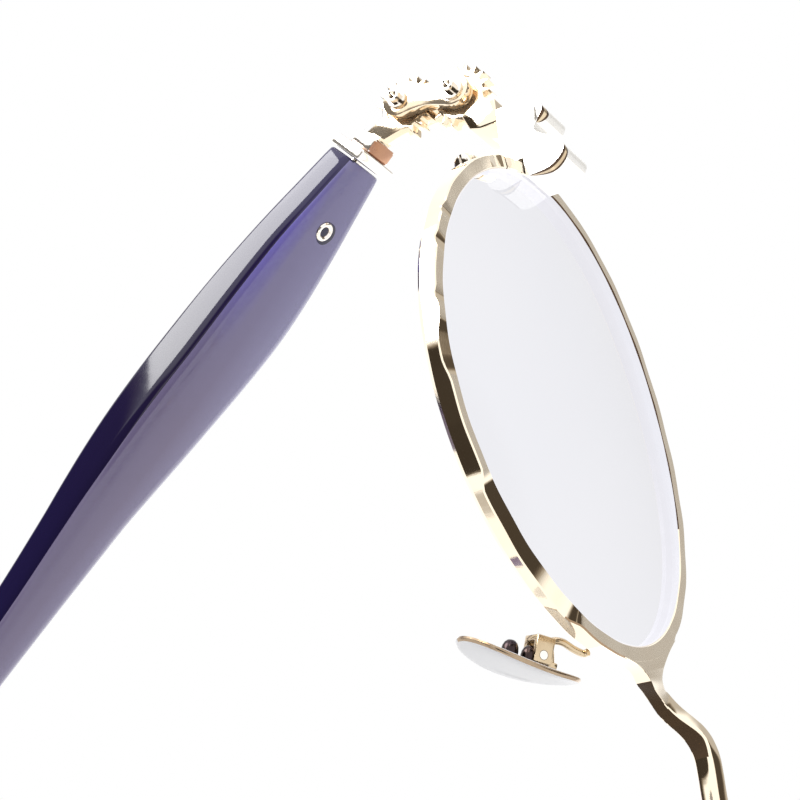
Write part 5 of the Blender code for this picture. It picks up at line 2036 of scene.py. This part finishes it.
@dataclass
class Studio:
    """The camera, the white room, the lamps and the floor.

    Attributes:
        floor: Height of the floor.
        target: Middle of the photographed part.
        eye: Place of the camera.
        right: Direction to the right in the picture.
        up: Direction up in the picture.
        lens: Focal length, in millimetres.
        sensor: Width of the sensor, in millimetres.
        cards: The lamps.
        room_level: How bright mirrors see the room.
        fill_level: How brightly the room lights dull surfaces.
        flags: Darker parts of the room, as mirrors see them.
        shade: Colour of the room at each brightness.
    """

    floor: float
    target: Place = (-0.034, 0.0012, -0.01595)
    eye: Place = (0.07088, -0.08542, -0.21990)
    right: Place = (0.10568, -0.86159, 0.49649)
    up: Place = (-0.89374, -0.30119, -0.33244)
    lens: float = 120.0
    sensor: float = 36.0
    cards: tuple[Card, ...] = (
        Card("key_softbox", (-0.679, 0.33, -0.656), 0.60, (0.29, 0.32), 3.0),
        Card("side_softbox", (-0.88, -0.05, -0.25), 1.0, (1.0, 1.0), 2.2),
        Card("top_softbox", (0.25, 0.10, 1.0), 1.0, (0.7, 0.7), 1.0),
    )
    room_level: float = 1.35
    fill_level: float = 0.80
    flags: tuple[Flag, ...] = (
        Flag((0.236, 0.41, -0.881), 27.7, 1.5, 0.055),
        Flag((0.578, 0.342, -0.741), 13.0, 1.5, 0.05),
        Flag((0.853, 0.375, -0.362), 7.0, 1.2, 0.62),
        Flag((-0.04, -0.15, -0.99), 10.5, 4.0, 0.10),
        Flag((-0.193, 0.78, -0.595), 26.0, 3.0, 0.05),
        Flag((-0.436, -0.409, 0.802), 19.0, 6.0, 0.58),
        Flag((0.436, -0.409, -0.802), 19.0, 3.0, 0.05),
        Flag((-0.436, -0.700, 0.566), 8.0, 3.0, 0.10),
        Flag((-0.270, -0.700, 0.660), 10.0, 3.0, 0.08),
        Flag((0.050, -0.900, 0.420), 15.0, 4.0, 0.07),
    )
    shade: tuple[tuple[float, Tone], ...] = (
        (0.05, (1.0, 0.80, 0.60)), (0.40, (1.0, 0.90, 0.76)), (0.75, (1.0, 1.0, 1.0)))

    def camera(self) -> None:
        """Add the camera where the photograph was taken from."""
        data = bpy.data.cameras.new("camera")
        data.lens = self.lens
        data.sensor_width = self.sensor
        data.clip_start = 0.005
        obj = bpy.data.objects.new("camera", data)
        right, up = Vector(self.right).normalized(), Vector(self.up).normalized()
        back = right.cross(up).normalized()
        up = back.cross(right)
        turn = Matrix((right, up, back)).transposed().to_4x4()
        obj.matrix_world = Matrix.Translation(self.eye) @ turn
        bpy.context.scene.collection.objects.link(obj)
        bpy.context.scene.camera = obj

    def room(self) -> None:
        """Make the world white to the camera, white with dark flags to mirrors, and moderate as a light."""
        nodes = Nodes(bpy.data.worlds.new("white_room"), "OutputWorld")
        way = nodes.add("TexCoord").outputs["Generated"]
        level: object = self.room_level
        for flag in self.flags:
            towards = Vector(flag.towards).normalized()
            near = nodes.add("VectorMath", way, towards, settings={"operation": "DOT_PRODUCT"})
            rim, core = (math.cos(math.radians(flag.reach + side * flag.blur)) for side in (1, -1))
            soft = nodes.add("MapRange", settings={"interpolation_type": "SMOOTHSTEP"},
                             Value=near.outputs["Value"], From_Min=rim, From_Max=core)
            change = nodes.maths("SUBTRACT", flag.level, level)
            level = nodes.maths("MULTIPLY_ADD", soft.outputs["Result"], change, level)
        path = nodes.add("LightPath").outputs
        above = nodes.maths("SUBTRACT", level, self.fill_level)
        mirrored = nodes.maths("MULTIPLY_ADD", path["Is Glossy Ray"], above, self.fill_level)
        seen = nodes.maths("MAXIMUM", path["Is Camera Ray"], path["Is Transmission Ray"])
        strength = nodes.maths("MULTIPLY_ADD", seen, nodes.maths("SUBTRACT", 1.0, mirrored), mirrored)
        colour = nodes.ramp(strength, *self.shade)
        bpy.context.scene.world = nodes.finish(nodes.add("Background", Color=colour, Strength=strength))

    def lights(self) -> None:
        """Add the lamps."""
        for card in self.cards:
            data = bpy.data.lights.new(card.name, "AREA")
            data.shape = "RECTANGLE"
            data.size, data.size_y = card.size
            data.energy = card.power
            obj = bpy.data.objects.new(card.name, data)
            way = Vector(card.towards).normalized()
            place = Vector(self.target) + way * card.distance
            obj.matrix_world = Matrix.Translation(place) @ way.to_track_quat("Z", "Y").to_matrix().to_4x4()
            bpy.context.scene.collection.objects.link(obj)

    def ground(self) -> None:
        """Lay the pale floor, which the camera below it looks through."""
        bm = bmesh.new()
        bmesh.ops.create_grid(bm, x_segments=1, y_segments=1, size=1.5)
        mesh = bpy.data.meshes.new("floor")
        bm.to_mesh(mesh)
        bm.free()
        mesh.transform(Matrix.Translation((0, 0, self.floor)))
        nodes = Nodes(bpy.data.materials.new("floor_paper"))
        paper = nodes.add("BsdfDiffuse", Color=nodes.fade(nodes.grain(400.0, 2.0), (0.3, 0.86), (0.7, 0.88)))
        through = nodes.add("BsdfTransparent").outputs[0]
        below = nodes.add("NewGeometry").outputs["Backfacing"]
        mesh.materials.append(nodes.finish(nodes.add("MixShader", below, paper.outputs[0], through)))
        floor = bpy.data.objects.new("floor", mesh)
        bpy.context.scene.collection.objects.link(floor)
        floor.visible_diffuse = False
        floor.visible_glossy = False
        floor.visible_transmission = False
        floor.visible_shadow = False

    def build(self) -> None:
        """Add everything round the glasses."""
        self.camera()
        self.room()
        self.lights()
        self.ground()
        bpy.context.scene.view_settings.view_transform = "Standard"
        LOG.info("studio: %d lamps", len(self.cards))


def main() -> None:
    """Build the glasses, sub-assembly by sub-assembly, and the studio."""
    logging.basicConfig(level=logging.INFO, format="%(name)s: %(message)s")
    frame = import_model()
    joints = {joint["name"]: Vector(joint["pos_m"]) for joint in frame["joints"]}
    layout = Layout(joints=joints)
    bench = Bench(layout)
    curve, stem = RimCurve(), TempleMetal()
    for assembly in (Rims(curve), Lenses(curve), Bridge(), Endpieces(curve), ClosingBlocks(curve)):
        assembly.build(bench)
    Hinges().build(bench, stem)
    stem.build(bench)
    AcetateTemples().build(bench, curve.foot())
    NosePads(curve).build(bench)
    LOG.info("%d pieces in all", bench.count)
    Studio(floor=layout.eye[2] + curve.foot()).build()


if __name__ == "__main__":
    main()
